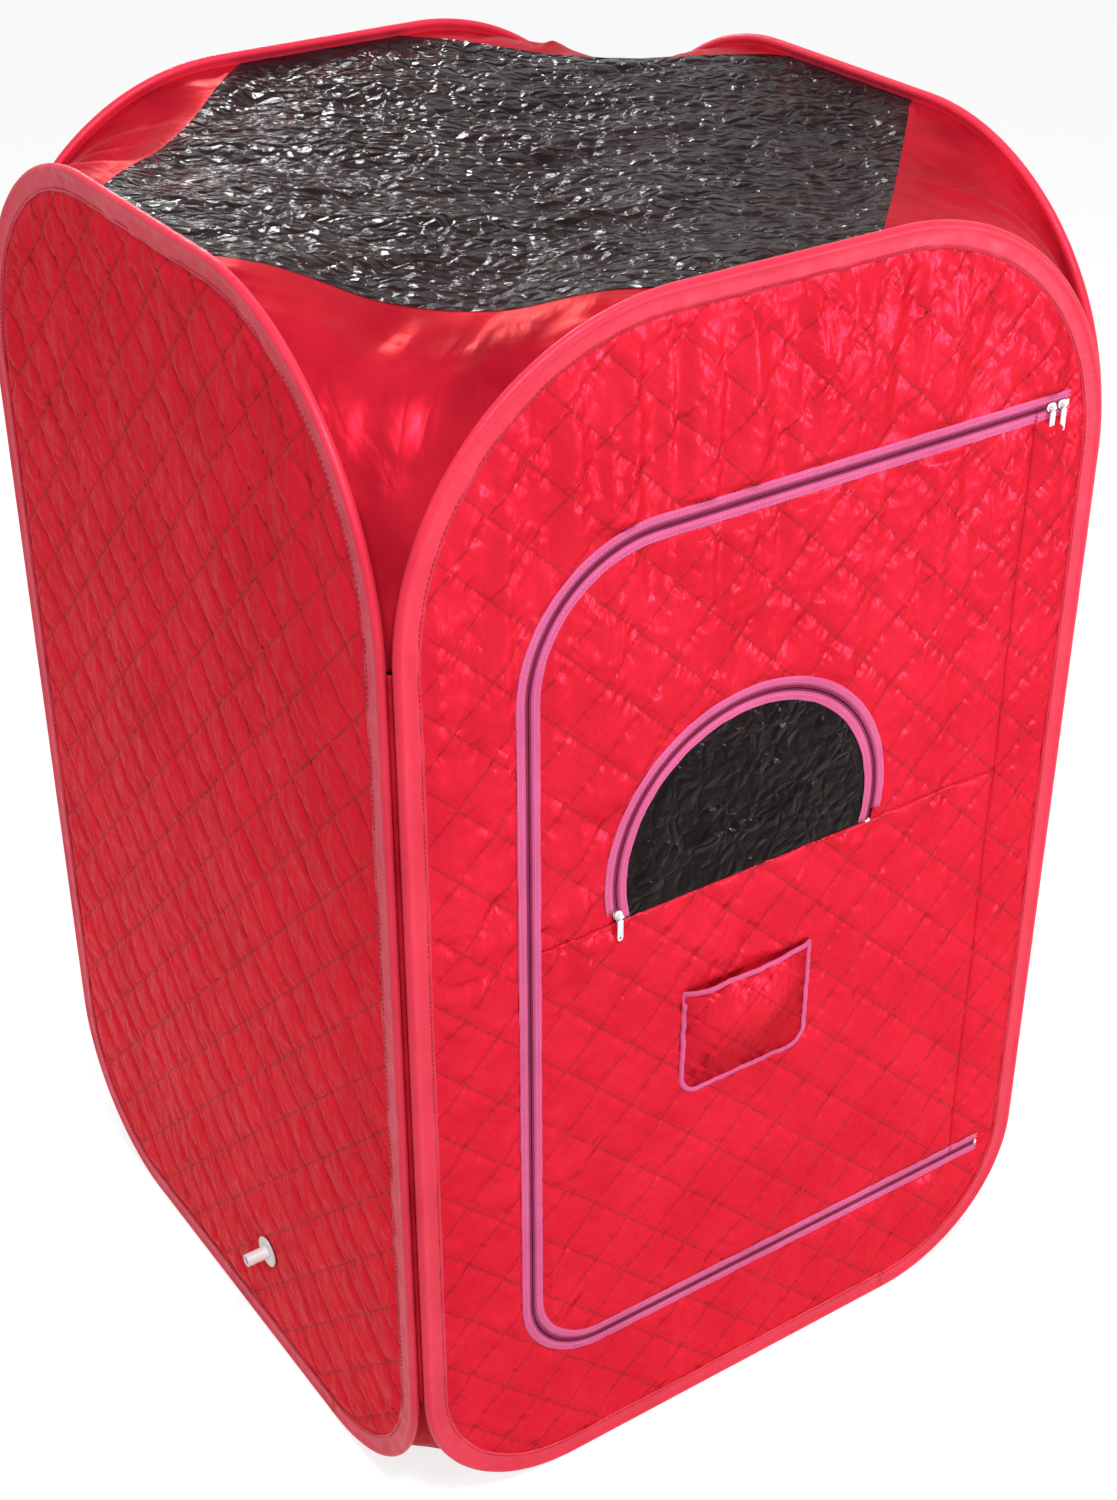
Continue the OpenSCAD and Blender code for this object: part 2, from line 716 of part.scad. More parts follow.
front_wire();
front_wire_crimp();
front_binding();
front_panel();
front_lining();
left_wire();
left_wire_crimp();
left_binding();
left_panel();
left_lining();
back_wire();
back_wire_crimp();
back_binding();
back_panel();
back_lining();
right_wire();
right_wire_crimp();
right_binding();
right_panel();
right_lining();
door_upper_panel();
door_lower_panel();
door_lining();
door_zip_frame_tape();
door_zip_frame_coil();
door_zip_door_tape();
door_zip_door_coil();
door_zip_stops();
door_slider_left();
door_pull_left();
door_slider_right();
door_pull_right();
window_film();
window_zip_door_tape();
window_zip_door_coil();
window_zip_flap_tape();
window_zip_flap_coil();
window_zip_stops();
window_slider();
window_pull();
pocket_pouch();
pocket_binding();
steam_inlet();
steam_inlet_gasket();
steam_inlet_nut();
roof_film();
roof_gusset_front_left();
roof_gusset_front_right();
roof_gusset_back_left();
roof_gusset_back_right();
floor_sheet();
floor_gusset_front_left();
floor_gusset_front_right();
floor_gusset_back_left();
floor_gusset_back_right();
corner_seam_front_left();
corner_seam_front_right();
corner_seam_back_left();
corner_seam_back_right();
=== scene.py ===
import logging
import math
from dataclasses import dataclass
from enum import Enum
from typing import Callable, Iterable, Sequence

import bmesh
import bpy
import numpy as np
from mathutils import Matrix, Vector
from mathutils.geometry import delaunay_2d_cdt


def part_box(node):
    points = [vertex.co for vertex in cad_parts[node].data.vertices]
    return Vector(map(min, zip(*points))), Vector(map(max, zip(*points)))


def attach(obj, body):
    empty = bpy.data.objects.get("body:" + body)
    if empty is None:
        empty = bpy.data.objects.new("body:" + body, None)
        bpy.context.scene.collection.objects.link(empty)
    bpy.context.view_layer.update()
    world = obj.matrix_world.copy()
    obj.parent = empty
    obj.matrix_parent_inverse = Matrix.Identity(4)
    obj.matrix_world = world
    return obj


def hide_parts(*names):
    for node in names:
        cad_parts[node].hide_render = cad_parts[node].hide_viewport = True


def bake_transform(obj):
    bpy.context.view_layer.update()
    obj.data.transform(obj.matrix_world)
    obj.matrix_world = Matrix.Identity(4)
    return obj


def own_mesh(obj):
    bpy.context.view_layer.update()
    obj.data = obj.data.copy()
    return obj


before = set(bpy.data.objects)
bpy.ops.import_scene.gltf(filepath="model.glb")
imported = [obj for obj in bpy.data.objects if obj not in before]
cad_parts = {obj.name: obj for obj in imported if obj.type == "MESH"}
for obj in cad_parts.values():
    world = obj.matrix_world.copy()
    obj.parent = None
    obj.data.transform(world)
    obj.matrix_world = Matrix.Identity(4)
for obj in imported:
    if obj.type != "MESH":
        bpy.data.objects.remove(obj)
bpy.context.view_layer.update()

log = logging.getLogger("steam_sauna")

Array = np.ndarray
Loop = list[tuple[float, float]]
Field = Callable[[Array, Array], Array]
Placer = Callable[[Array, Array, Array], Array]
Triple = tuple[float, float, float]

ROOT_TWO = math.sqrt(2)
LINE_SPACING = 0.006
ZIP_SPACING = 0.005
FACING_FRONT: Triple = (0.0, -1.0, 0.0)
MERGE = 1e-7
BINDING_SPACING = 0.0075
BINDING_HEM = 0.0030
POCKET_SPACING = 0.0035
INLET_PLACE = (0.090, 0.150)
INLET_HOLE = 0.0098
INLET_CLEAR = 0.013
INLET_SEWN = 0.024
TINY_STEP = 1e-4


# ---------------------------------------------------------------- measures


class Side(Enum):
    """The four walls of the cabin, as their CAD bodies are named."""

    FRONT = "front"
    LEFT = "left"
    BACK = "back"
    RIGHT = "right"

    @property
    def body(self) -> str:
        """The CAD body that the wall is."""
        return f"{self.value}_wall"


class Corner(Enum):
    """The four corners: name, the walls that meet there, and the signs of x and y."""

    FRONT_LEFT = ("front_left", Side.FRONT, Side.LEFT, -1, -1)
    FRONT_RIGHT = ("front_right", Side.FRONT, Side.RIGHT, 1, -1)
    BACK_LEFT = ("back_left", Side.BACK, Side.LEFT, -1, 1)
    BACK_RIGHT = ("back_right", Side.BACK, Side.RIGHT, 1, 1)


@dataclass(frozen=True)
class Measures:
    """The cabin's shared sizes in metres; the big ones are read from the frame."""

    half_width: float
    half_depth: float
    height: float
    wall_half: float
    top_radius: float = 0.310
    bottom_radius: float = 0.200
    bead: float = 0.0055
    binding: float = 0.028
    tape_face: float = 0.0032
    cloth_half: float = 0.0024
    cloth_inset: float = 0.012
    setback: float = 0.0055
    roof_ledge: float = 0.030
    floor_ramp: float = 0.030
    gusset_inset: float = 0.014
    quilt_pitch: float = 0.060

    @staticmethod
    def from_frame() -> "Measures":
        """Reads the large sizes from the CAD boxes.

        Returns:
            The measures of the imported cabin.
        """
        low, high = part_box("front_binding")
        side_low, side_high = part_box("right_binding")
        return Measures(
            half_width=(side_low.x + side_high.x) / 2,
            half_depth=-(low.y + high.y) / 2,
            height=high.z,
            wall_half=high.x,
        )


def arc_points(cx: float, cz: float, radius: float, angles: Iterable[float]) -> Loop:
    """Points of a circle at the given angles in radians."""
    return [(cx + radius * math.cos(a), cz + radius * math.sin(a)) for a in angles]


@dataclass(frozen=True)
class Outline:
    """A rounded outline in a wall's plane: x across, z up, with its own low and high corner radii."""

    left: float
    right: float
    low: float
    high: float
    low_radius: float
    high_radius: float
    open_right: bool = False

    def distance(self, x: Array, z: Array) -> Array:
        """Signed distance to the outline.

        Args:
            x: Positions across.
            z: Heights.

        Returns:
            Distances, positive inside.
        """
        mid_z = (self.low + self.high) / 2
        radius = np.where(z > mid_z, self.high_radius, self.low_radius)
        if self.open_right:
            qx = self.left + radius - x
        else:
            mid_x = (self.left + self.right) / 2
            qx = np.abs(x - mid_x) - (self.right - self.left) / 2 + radius
        qz = np.abs(z - mid_z) - (self.high - self.low) / 2 + radius
        outside = np.hypot(np.maximum(qx, 0), np.maximum(qz, 0))
        return -(np.minimum(np.maximum(qx, qz), 0) + outside - radius)

    def foot(self, x: Array, z: Array) -> tuple[Array, Array]:
        """The nearest point of the outline to each position.

        Args:
            x: Positions across.
            z: Heights.

        Returns:
            The positions and heights of the nearest points.
        """
        h = TINY_STEP
        d = self.distance(x, z)
        gx = (self.distance(x + h, z) - self.distance(x - h, z)) / (2 * h)
        gz = (self.distance(x, z + h) - self.distance(x, z - h)) / (2 * h)
        return x - gx * d, z - gz * d

    def loop(self, inset: float, spacing: float) -> Loop:
        """A closed line of points at an inset from the outline, anticlockwise.

        Args:
            inset: Distance inside the outline.
            spacing: Rough distance between points.

        Returns:
            The points.
        """
        lr, hr = self.low_radius - inset, self.high_radius - inset
        l, r = self.left + inset, self.right - inset
        b, t = self.low + inset, self.high - inset
        arcs = [
            (r - lr, b + lr, lr, -90),
            (r - hr, t - hr, hr, 0),
            (l + hr, t - hr, hr, 90),
            (l + lr, b + lr, lr, 180),
        ]
        points: Loop = []
        for cx, cz, radius, start in arcs:
            n = max(3, int(radius * math.pi / 2 / spacing))
            points += arc_points(cx, cz, radius, (math.radians(start + 90 * i / n) for i in range(n + 1)))
        return resample(points, spacing, True)


def resample(points: Loop, spacing: float, closed: bool) -> Loop:
    """Fills long stretches of a line with points, keeping its own points.

    Args:
        points: The line's points.
        spacing: Longest distance between points.
        closed: Whether the last point joins the first.

    Returns:
        The filled line, without repeated points.
    """
    made: Loop = []
    ends = points[1:] + points[:1] if closed else points[1:]
    for a, b in zip(points, ends):
        gap = math.dist(a, b)
        if gap < 1e-6:
            continue
        n = max(1, round(gap / spacing))
        made += [(a[0] + (b[0] - a[0]) * i / n, a[1] + (b[1] - a[1]) * i / n) for i in range(n)]
    if not closed:
        made.append(points[-1])
    return made


def even(points: Loop, spacing: float, closed: bool) -> Loop:
    """Points at even distances along a line.

    Args:
        points: The line's points.
        spacing: Distance wanted between points.
        closed: Whether the last point joins the first.

    Returns:
        The evenly spaced points.
    """
    p = np.array(points + points[:1] if closed else points)
    length = np.concatenate([[0], np.cumsum(np.linalg.norm(np.diff(p, axis=0), axis=1))])
    n = max(2, round(length[-1] / spacing))
    at = np.linspace(0, length[-1], n + 1)[: n if closed else n + 1]
    return list(zip(np.interp(at, length, p[:, 0]), np.interp(at, length, p[:, 1])))


# ---------------------------------------------------------------- noise


def smooth(t: Array) -> Array:
    """A soft step from 0 to 1 as t goes from 0 to 1."""
    t = np.clip(t, 0, 1)
    return t * t * (3 - 2 * t)


def noise(x: Array, y: Array, seed: int) -> Array:
    """Smooth two-way noise, one cell to a unit, from a seeded table.

    Args:
        x: First position.
        y: Second position.
        seed: Which table.

    Returns:
        Values from -1 to 1.
    """
    table = np.random.default_rng(seed).uniform(-1, 1, (256, 256))
    xi, yi = np.floor(x).astype(int), np.floor(y).astype(int)
    fx, fy = smooth(x - xi), smooth(y - yi)
    a, b = table[xi & 255, yi & 255], table[(xi + 1) & 255, yi & 255]
    c, d = table[xi & 255, (yi + 1) & 255], table[(xi + 1) & 255, (yi + 1) & 255]
    return (a * (1 - fx) + b * fx) * (1 - fy) + (c * (1 - fx) + d * fx) * fy


def clouds(x: Array, y: Array, seed: int, octaves: int = 3) -> Array:
    """Noise with finer noise laid on it."""
    return sum(noise(x * 2**k, y * 2**k, seed + k) / 2**k for k in range(octaves)) / 1.5


def ridges(x: Array, y: Array, seed: int, octaves: int = 3) -> Array:
    """Sharp-crested noise, as in creased film.

    Args:
        x: First position.
        y: Second position.
        seed: Which tables.
        octaves: How many layers.

    Returns:
        Values from 0 to about 1, highest on the crests.
    """
    return sum(
        (1 - np.abs(noise(x * 2.1**k, y * 2.1**k, seed + k)) * 1.6) / 1.9**k for k in range(octaves)
    ) / 2


# ---------------------------------------------------------------- meshes


def make_object(
    name: str, points: Array, faces: Sequence[Sequence[int]], uv: Array | None = None
) -> bpy.types.Object:
    """A smooth-shaded mesh object at the origin.

    Args:
        name: The piece's name.
        points: Its vertices in metres.
        faces: Its faces.
        uv: A position on the cloth for each vertex, or None.

    Returns:
        The linked object.
    """
    mesh = bpy.data.meshes.new(name)
    mesh.from_pydata([tuple(p) for p in points], [], [tuple(int(i) for i in f) for f in faces])
    if uv is not None:
        layer = mesh.uv_layers.new(name="cloth")
        index = np.zeros(len(mesh.loops), np.int32)
        mesh.loops.foreach_get("vertex_index", index)
        layer.data.foreach_set("uv", np.asarray(uv, np.float32)[index].ravel())
    mesh.polygons.foreach_set("use_smooth", np.ones(len(mesh.polygons), bool))
    mesh.update()
    made = bpy.data.objects.new(name, mesh)
    bpy.context.scene.collection.objects.link(made)
    return made


def join_parts(parts: Iterable[tuple[Array, Sequence[Sequence[int]], Array]]) -> tuple[Array, list, Array]:
    """Puts several point, face and cloth-position sets together.

    Args:
        parts: The sets.

    Returns:
        One set.
    """
    points, faces, uvs, base = [], [], [], 0
    for p, f, uv in parts:
        points.append(p)
        uvs.append(uv)
        faces += [[i + base for i in face] for face in f]
        base += len(p)
    return np.concatenate(points), faces, np.concatenate(uvs)


def face_out(made: bpy.types.Object, merge: float = 1e-6) -> bpy.types.Object:
    """Merges doubles and turns all faces outward.

    Args:
        made: The object.
        merge: Distance under which points are one.

    Returns:
        The same object.
    """
    bm = bmesh.new()
    bm.from_mesh(made.data)
    bmesh.ops.remove_doubles(bm, verts=bm.verts, dist=merge)
    bmesh.ops.recalc_face_normals(bm, faces=bm.faces)
    bm.to_mesh(made.data)
    bm.free()
    made.data.polygons.foreach_set("use_smooth", np.ones(len(made.data.polygons), bool))
    return made


def triangulate(loops: Sequence[Loop], inner: Array, inside: Field) -> tuple[Array, Array, list[list[int]]]:
    """Fills an area between loops with triangles.

    Args:
        loops: Closed border lines.
        inner: Points inside the area, one a row.
        inside: Says which positions are inside.

    Returns:
        The flat points, the triangles turned anticlockwise, and each loop's point numbers.
    """
    verts = [Vector(p) for loop in loops for p in loop]
    edges, base = [], 0
    for loop in loops:
        edges += [(base + i, base + (i + 1) % len(loop)) for i in range(len(loop))]
        base += len(loop)
    verts += [Vector(p) for p in inner]
    out, _, tris, origin, _, _ = delaunay_2d_cdt(verts, edges, [], 0, 1e-7, True)
    flat = np.array([tuple(v) for v in out])
    where = {}
    for i, sources in enumerate(origin):
        for s in sources:
            where[s] = i
    tris = np.array([t for t in tris if len(t) == 3])
    middle = flat[tris].mean(1)
    tris = tris[inside(middle[:, 0], middle[:, 1])]
    a, b, c = (flat[tris[:, i]] for i in range(3))
    area = (b[:, 0] - a[:, 0]) * (c[:, 1] - a[:, 1]) - (b[:, 1] - a[:, 1]) * (c[:, 0] - a[:, 0])
    tris = tris[np.abs(area) > 1e-12]
    area = area[np.abs(area) > 1e-12]
    tris[area < 0] = tris[area < 0][:, ::-1]
    rings, base = [], 0
    for loop in loops:
        rings.append([where[base + i] for i in range(len(loop))])
        base += len(loop)
    return flat, tris, rings


def diagonal_lattice(low: tuple[float, float], high: tuple[float, float], pitch: float, per: int) -> Array:
    """Points on lines at 45 degrees both ways, so that quilting lines fall on them.

    Args:
        low: Lowest corner of the area.
        high: Highest corner of the area.
        pitch: Distance between quilting lines.
        per: Points from one quilting line to the next.

    Returns:
        The points, one a row.
    """
    step = pitch / per
    reach = int((high[0] - low[0] + high[1] - low[1]) / step) + 2
    i, j = np.meshgrid(np.arange(-reach, reach), np.arange(-reach, reach), indexing="ij")
    u, v = i.ravel() * step, j.ravel() * step
    x, z = (u + v) / ROOT_TWO, (u - v) / ROOT_TWO
    keep = (x > low[0]) & (x < high[0]) & (z > low[1]) & (z < high[1])
    return np.stack([x[keep], z[keep]], 1)


def placer(side: Side, m: Measures) -> Placer:
    """The function that puts a wall's own positions in the cabin.

    Args:
        side: Which wall.
        m: The cabin's measures.

    Returns:
        A function of positions across, depths (outward is negative) and heights.
    """
    def place(x: Array, y: Array, z: Array) -> Array:
        """Positions in the cabin of positions on the wall."""
        if side is Side.FRONT:
            return np.stack([x, y - m.half_depth, z], -1)
        if side is Side.LEFT:
            return np.stack([y - m.half_width, -x, z], -1)
        if side is Side.BACK:
            return np.stack([-x, m.half_depth - y, z], -1)
        return np.stack([m.half_width - y, x, z], -1)

    return place


def sweep(path: Array, across: Array, out: Array, profile: Array, closed: bool) -> tuple[Array, list, Array]:
    """Carries a closed profile along a path.

    Args:
        path: The path's points.
        across: The profile's first direction at each point.
        out: The profile's second direction at each point.
        profile: The profile at each point, stations by corners by two.
        closed: Whether the path is a ring.

    Returns:
        Points, faces and cloth positions.
    """
    n, k = len(path), profile.shape[1]
    points = path[:, None] + across[:, None] * profile[..., :1] + out[:, None] * profile[..., 1:]
    along = np.concatenate([[0], np.cumsum(np.linalg.norm(np.diff(path, axis=0), axis=1))])
    round_it = np.concatenate([[0], np.cumsum(np.linalg.norm(np.diff(profile[0], axis=0), axis=1))])
    uv = np.stack(np.broadcast_arrays(along[:, None], round_it[None]), -1).reshape(-1, 2)
    faces = []
    for i in range(n if closed else n - 1):
        a, b = i * k, (i + 1) % n * k
        faces += [[a + j, b + j, b + (j + 1) % k, a + (j + 1) % k] for j in range(k)]
    if not closed:
        faces += [list(range(k - 1, -1, -1)), list(range((n - 1) * k, n * k))]
    return points.reshape(-1, 3), faces, uv


# ---------------------------------------------------------------- finishes


class Tree:
    """Short ways to add and join nodes in one node tree."""

    def __init__(self, tree: bpy.types.NodeTree) -> None:
        """Keeps the tree."""
        self.tree = tree

    def add(self, kind: str, inputs: dict | None = None, **settings: object) -> bpy.types.Node:
        """Adds a node.

        Args:
            kind: The node's type.
            inputs: Values or sockets for its inputs, by name or number.
            settings: Its properties.

        Returns:
            The node.
        """
        node = self.tree.nodes.new(kind)
        for key, value in settings.items():
            setattr(node, key, value)
        for key, value in (inputs or {}).items():
            if isinstance(value, bpy.types.NodeSocket):
                self.tree.links.new(value, node.inputs[key])
            else:
                node.inputs[key].default_value = value
        return node

    def math(self, kind: str, a: object, b: object = 0.0, c: object = 0.0) -> bpy.types.NodeSocket:
        """Adds a sum of up to three values and gives its result."""
        return self.add("ShaderNodeMath", {0: a, 1: b, 2: c}, operation=kind).outputs[0]

    def mix(self, share: object, a: object, b: object) -> bpy.types.NodeSocket:
        """Adds a colour mix and gives its result."""
        return self.add("ShaderNodeMix", {0: share, 6: a, 7: b}, data_type="RGBA").outputs[2]

    def shade(self, colour: object, by: object) -> bpy.types.NodeSocket:
        """Multiplies a colour by another and gives the result."""
        inputs = {0: 1.0, 6: colour, 7: by}
        return self.add("ShaderNodeMix", inputs, data_type="RGBA", blend_type="MULTIPLY").outputs[2]

    def ramp(
        self, value: bpy.types.NodeSocket, low: float, high: float, to_low: float = 0.0, to_high: float = 1.0
    ) -> bpy.types.NodeSocket:
        """Adds a range map and gives its result."""
        return self.add("ShaderNodeMapRange", {0: value, 1: low, 2: high, 3: to_low, 4: to_high}).outputs[0]


GroupParts = tuple[bpy.types.NodeTree, Tree, bpy.types.Node, bpy.types.Node]


def group(name: str, inputs: dict[str, float], outputs: dict[str, str]) -> GroupParts:
    """Starts a shader group with named sockets.

    Args:
        name: The group's name.
        inputs: Its number inputs and their values; Place is added as a vector.
        outputs: Its outputs and their socket types.

    Returns:
        The group, its helper, its input node and its output node.
    """
    tree = bpy.data.node_groups.new(name, "ShaderNodeTree")
    tree.interface.new_socket("Place", in_out="INPUT", socket_type="NodeSocketVector")
    for key, value in inputs.items():
        socket = tree.interface.new_socket(key, in_out="INPUT", socket_type="NodeSocketFloat")
        socket.default_value = value
    for key, kind in outputs.items():
        tree.interface.new_socket(key, in_out="OUTPUT", socket_type=kind)
    helper = Tree(tree)
    return tree, helper, helper.add("NodeGroupInput"), helper.add("NodeGroupOutput")


def weave_group() -> bpy.types.NodeTree:
    """Crossing threads: a height and a faint tint.

    Returns:
        The group.
    """
    tree, t, start, end = group(
        "thread_weave", {"Threads": 900.0, "Depth": 1.0},
        {"Height": "NodeSocketFloat", "Tint": "NodeSocketFloat"},
    )
    parts = t.add("ShaderNodeSeparateXYZ", {0: start.outputs["Place"]})
    waves = [t.math("SINE", t.math("MULTIPLY", parts.outputs[i], start.outputs["Threads"])) for i in (0, 1)]
    both = t.math("MULTIPLY", waves[0], waves[1])
    t.tree.links.new(t.math("MULTIPLY", both, start.outputs["Depth"]), end.inputs["Height"])
    t.tree.links.new(t.ramp(both, -1.0, 1.0, 0.92, 1.04), end.inputs["Tint"])
    return tree


def crease_group() -> bpy.types.NodeTree:
    """Soft creases, longer one way than the other.

    Returns:
        The group.
    """
    tree, t, start, end = group(
        "soft_creases", {"Size": 40.0, "Stretch": 0.35, "Depth": 1.0}, {"Height": "NodeSocketFloat"}
    )
    stretch = t.add(
        "ShaderNodeCombineXYZ", {0: 1.0, 1: start.outputs["Stretch"], 2: start.outputs["Stretch"]}
    )
    place = t.add(
        "ShaderNodeVectorMath", {0: start.outputs["Place"], 1: stretch.outputs[0]}, operation="MULTIPLY"
    )
    cloud = t.add(
        "ShaderNodeTexNoise",
        {"Vector": place.outputs[0], "Scale": start.outputs["Size"], "Detail": 4.0, "Distortion": 0.4},
    )
    fold = t.math("ABSOLUTE", t.math("SUBTRACT", cloud.outputs["Fac"], 0.5))
    t.tree.links.new(t.math("MULTIPLY", fold, start.outputs["Depth"]), end.inputs["Height"])
    return tree


def quilt_group() -> bpy.types.NodeTree:
    """The quilting lines on cloth positions: the small pinches beside them, and a narrow mask along each line
    that the finish uses as painted shade in the stitched valleys.

    Returns:
        The group.
    """
    tree, t, start, end = group(
        "quilting", {"Pitch": 0.06, "Pinch": 1.0}, {"Height": "NodeSocketFloat", "Line": "NodeSocketFloat"}
    )
    parts = t.add("ShaderNodeSeparateXYZ", {0: start.outputs["Place"]})
    x, z = parts.outputs[0], parts.outputs[1]
    root = 1 / ROOT_TWO
    heights, lines = [], []
    for sign in (1.0, -1.0):
        across = t.math("MULTIPLY", t.math("MULTIPLY_ADD", z, sign, x), root)
        along = t.math("MULTIPLY", t.math("MULTIPLY_ADD", z, -sign, x), root)
        cell = t.math("DIVIDE", across, start.outputs["Pitch"])
        off = t.math(
            "MULTIPLY", t.math("ABSOLUTE", t.math("SUBTRACT", cell, t.math("ROUND", cell))),
            start.outputs["Pitch"],
        )
        near = t.ramp(off, 0.0, 0.020, 1.0, 0.0)
        spot = t.add(
            "ShaderNodeCombineXYZ", {0: along, 1: t.math("MULTIPLY", across, 0.25), 2: t.math("ROUND", cell)}
        )
        pinch = t.add("ShaderNodeTexNoise", {"Vector": spot.outputs[0], "Scale": 64.0, "Detail": 1.0})
        ripple = t.math("SUBTRACT", pinch.outputs["Fac"], 0.5)
        rounded = t.math("MULTIPLY", t.math("SUBTRACT", 1.0, near), near)
        ripple = t.math("ADD", t.math("MULTIPLY", ripple, near), t.math("MULTIPLY", rounded, 0.30))
        heights.append(ripple)
        # narrow mask along the line, used as painted shade in the stitched valley
        lines.append(t.ramp(off, 0.0, 0.0020, 1.0, 0.0))
    t.tree.links.new(
        t.math("MULTIPLY", t.math("ADD", *heights), start.outputs["Pinch"]), end.inputs["Height"]
    )
    t.tree.links.new(t.math("MAXIMUM", *lines), end.inputs["Line"])
    return tree


class Groups:
    """The shader groups that several finishes share, each built once."""

    def __init__(self) -> None:
        """Builds the groups."""
        self.weave = weave_group()
        self.crease = crease_group()
        self.quilt = quilt_group()


@dataclass(frozen=True)
class Finish:
    """A material: plain values, then what varies over the surface.

    Attributes:
        name: The material's name.
        colour: Linear base colour.
        deep: Linear colour in the darker patches.
        roughness: Middle roughness.
        spread: How much the roughness varies.
        metallic: Share of coloured reflection.
        weave: Threads' bump, 0 for none.
        crease: Creases' bump, 0 for none.
        crease_size: How fine the creases are.
        pinch: Quilting pinches' bump, which also brings the painted shade along the quilting lines, 0 for
            none.
        sheen: Sheen weight.
        coat: Coat weight.
        film: Crumples' bump, 0 for none.
        specular: Strength of the plain reflection.
        gleam: Colour of the plain reflection.
        use_uv: Whether patterns follow the cloth, or the object's own space.
    """

    name: str
    colour: Triple
    deep: Triple
    roughness: float = 0.5
    spread: float = 0.08
    metallic: float = 0.0
    weave: float = 0.0
    threads: float = 2600.0
    crease: float = 0.0
    crease_size: float = 40.0
    pinch: float = 0.0
    sheen: float = 0.0
    coat: float = 0.0
    film: float = 0.0
    specular: float = 0.5
    gleam: Triple = (1.0, 1.0, 1.0)
    use_uv: bool = True

    def build(self, groups: Groups) -> bpy.types.Material:
        """Builds the material's nodes.

        Args:
            groups: The shared groups.

        Returns:
            The material.
        """
        material = bpy.data.materials.new(self.name)
        material.use_nodes = True
        material.diffuse_color = (*self.colour, 1)
        material.node_tree.nodes.clear()
        t = Tree(material.node_tree)
        source = t.add("ShaderNodeTexCoord")
        place = source.outputs["UV" if self.use_uv else "Object"]
        solid = source.outputs["Object"]
        shader = t.add(
            "ShaderNodeBsdfPrincipled", {"Metallic": self.metallic, "Specular IOR Level": self.specular}
        )
        shader.inputs["Sheen Weight"].default_value = self.sheen
        shader.inputs["Sheen Roughness"].default_value = 0.35
        shader.inputs["Sheen Tint"].default_value = (1.0, 0.30, 0.36, 1)
        shader.inputs["Specular Tint"].default_value = (*self.gleam, 1)
        shader.inputs["Coat Weight"].default_value = self.coat
        shader.inputs["Coat Roughness"].default_value = 0.12
        patches = t.add("ShaderNodeTexNoise", {"Vector": solid, "Scale": 9.0, "Detail": 3.0})
        colour = t.mix(t.ramp(patches.outputs["Fac"], 0.3, 0.7), (*self.deep, 1), (*self.colour, 1))
        height: object = 0.0
        if self.weave:
            weave = t.add("ShaderNodeGroup", node_tree=groups.weave)
            t.tree.links.new(place, weave.inputs["Place"])
            weave.inputs["Threads"].default_value = self.threads
            weave.inputs["Depth"].default_value = self.weave
            colour = t.shade(colour, weave.outputs["Tint"])
            height = weave.outputs["Height"]
        if self.crease:
            crease = t.add("ShaderNodeGroup", node_tree=groups.crease)
            t.tree.links.new(place, crease.inputs["Place"])
            crease.inputs["Size"].default_value = self.crease_size
            crease.inputs["Depth"].default_value = self.crease
            height = t.math("ADD", height, crease.outputs["Height"])
        if self.pinch:
            quilt = t.add("ShaderNodeGroup", node_tree=groups.quilt)
            t.tree.links.new(place, quilt.inputs["Place"])
            quilt.inputs["Pinch"].default_value = self.pinch
            height = t.math("ADD", height, quilt.outputs["Height"])
            # painted shade: the colour darkens to 0.72 along the quilting lines, standing in for the shade of
            # the stitched valleys
            colour = t.shade(colour, t.ramp(quilt.outputs["Line"], 0.0, 1.0, 1.0, 0.72))
        if self.film:
            bend = t.add("ShaderNodeTexNoise", {"Vector": place, "Scale": 14.0, "Detail": 2.0})
            bent = t.add(
                "ShaderNodeVectorMath", {0: bend.outputs["Color"], 1: (0.05, 0.05, 0.05), 2: place},
                operation="MULTIPLY_ADD",
            )
            cells = t.add(
                "ShaderNodeTexVoronoi", {"Vector": bent.outputs[0], "Scale": 48.0, "Randomness": 1.0},
                feature="DISTANCE_TO_EDGE",
            )
            waves = t.add(
                "ShaderNodeTexNoise", {"Vector": place, "Scale": 26.0, "Detail": 5.0, "Distortion": 1.2}
            )
            crumple = t.math("ADD", t.math("MULTIPLY", cells.outputs["Distance"], 1.2), waves.outputs["Fac"])
            height = t.math("ADD", height, t.math("MULTIPLY", crumple, self.film))
        fine = t.add("ShaderNodeTexNoise", {"Vector": solid, "Scale": 60.0, "Detail": 3.0})
        rough = t.ramp(
            fine.outputs["Fac"], 0.3, 0.7, self.roughness - self.spread, self.roughness + self.spread
        )
        t.tree.links.new(colour, shader.inputs["Base Color"])
        t.tree.links.new(rough, shader.inputs["Roughness"])
        if not isinstance(height, float):
            bump = t.add("ShaderNodeBump", {"Height": height, "Strength": 1.0, "Distance": 0.001})
            t.tree.links.new(bump.outputs[0], shader.inputs["Normal"])
        end = t.add("ShaderNodeOutputMaterial")
        t.tree.links.new(shader.outputs[0], end.inputs[0])
        return material


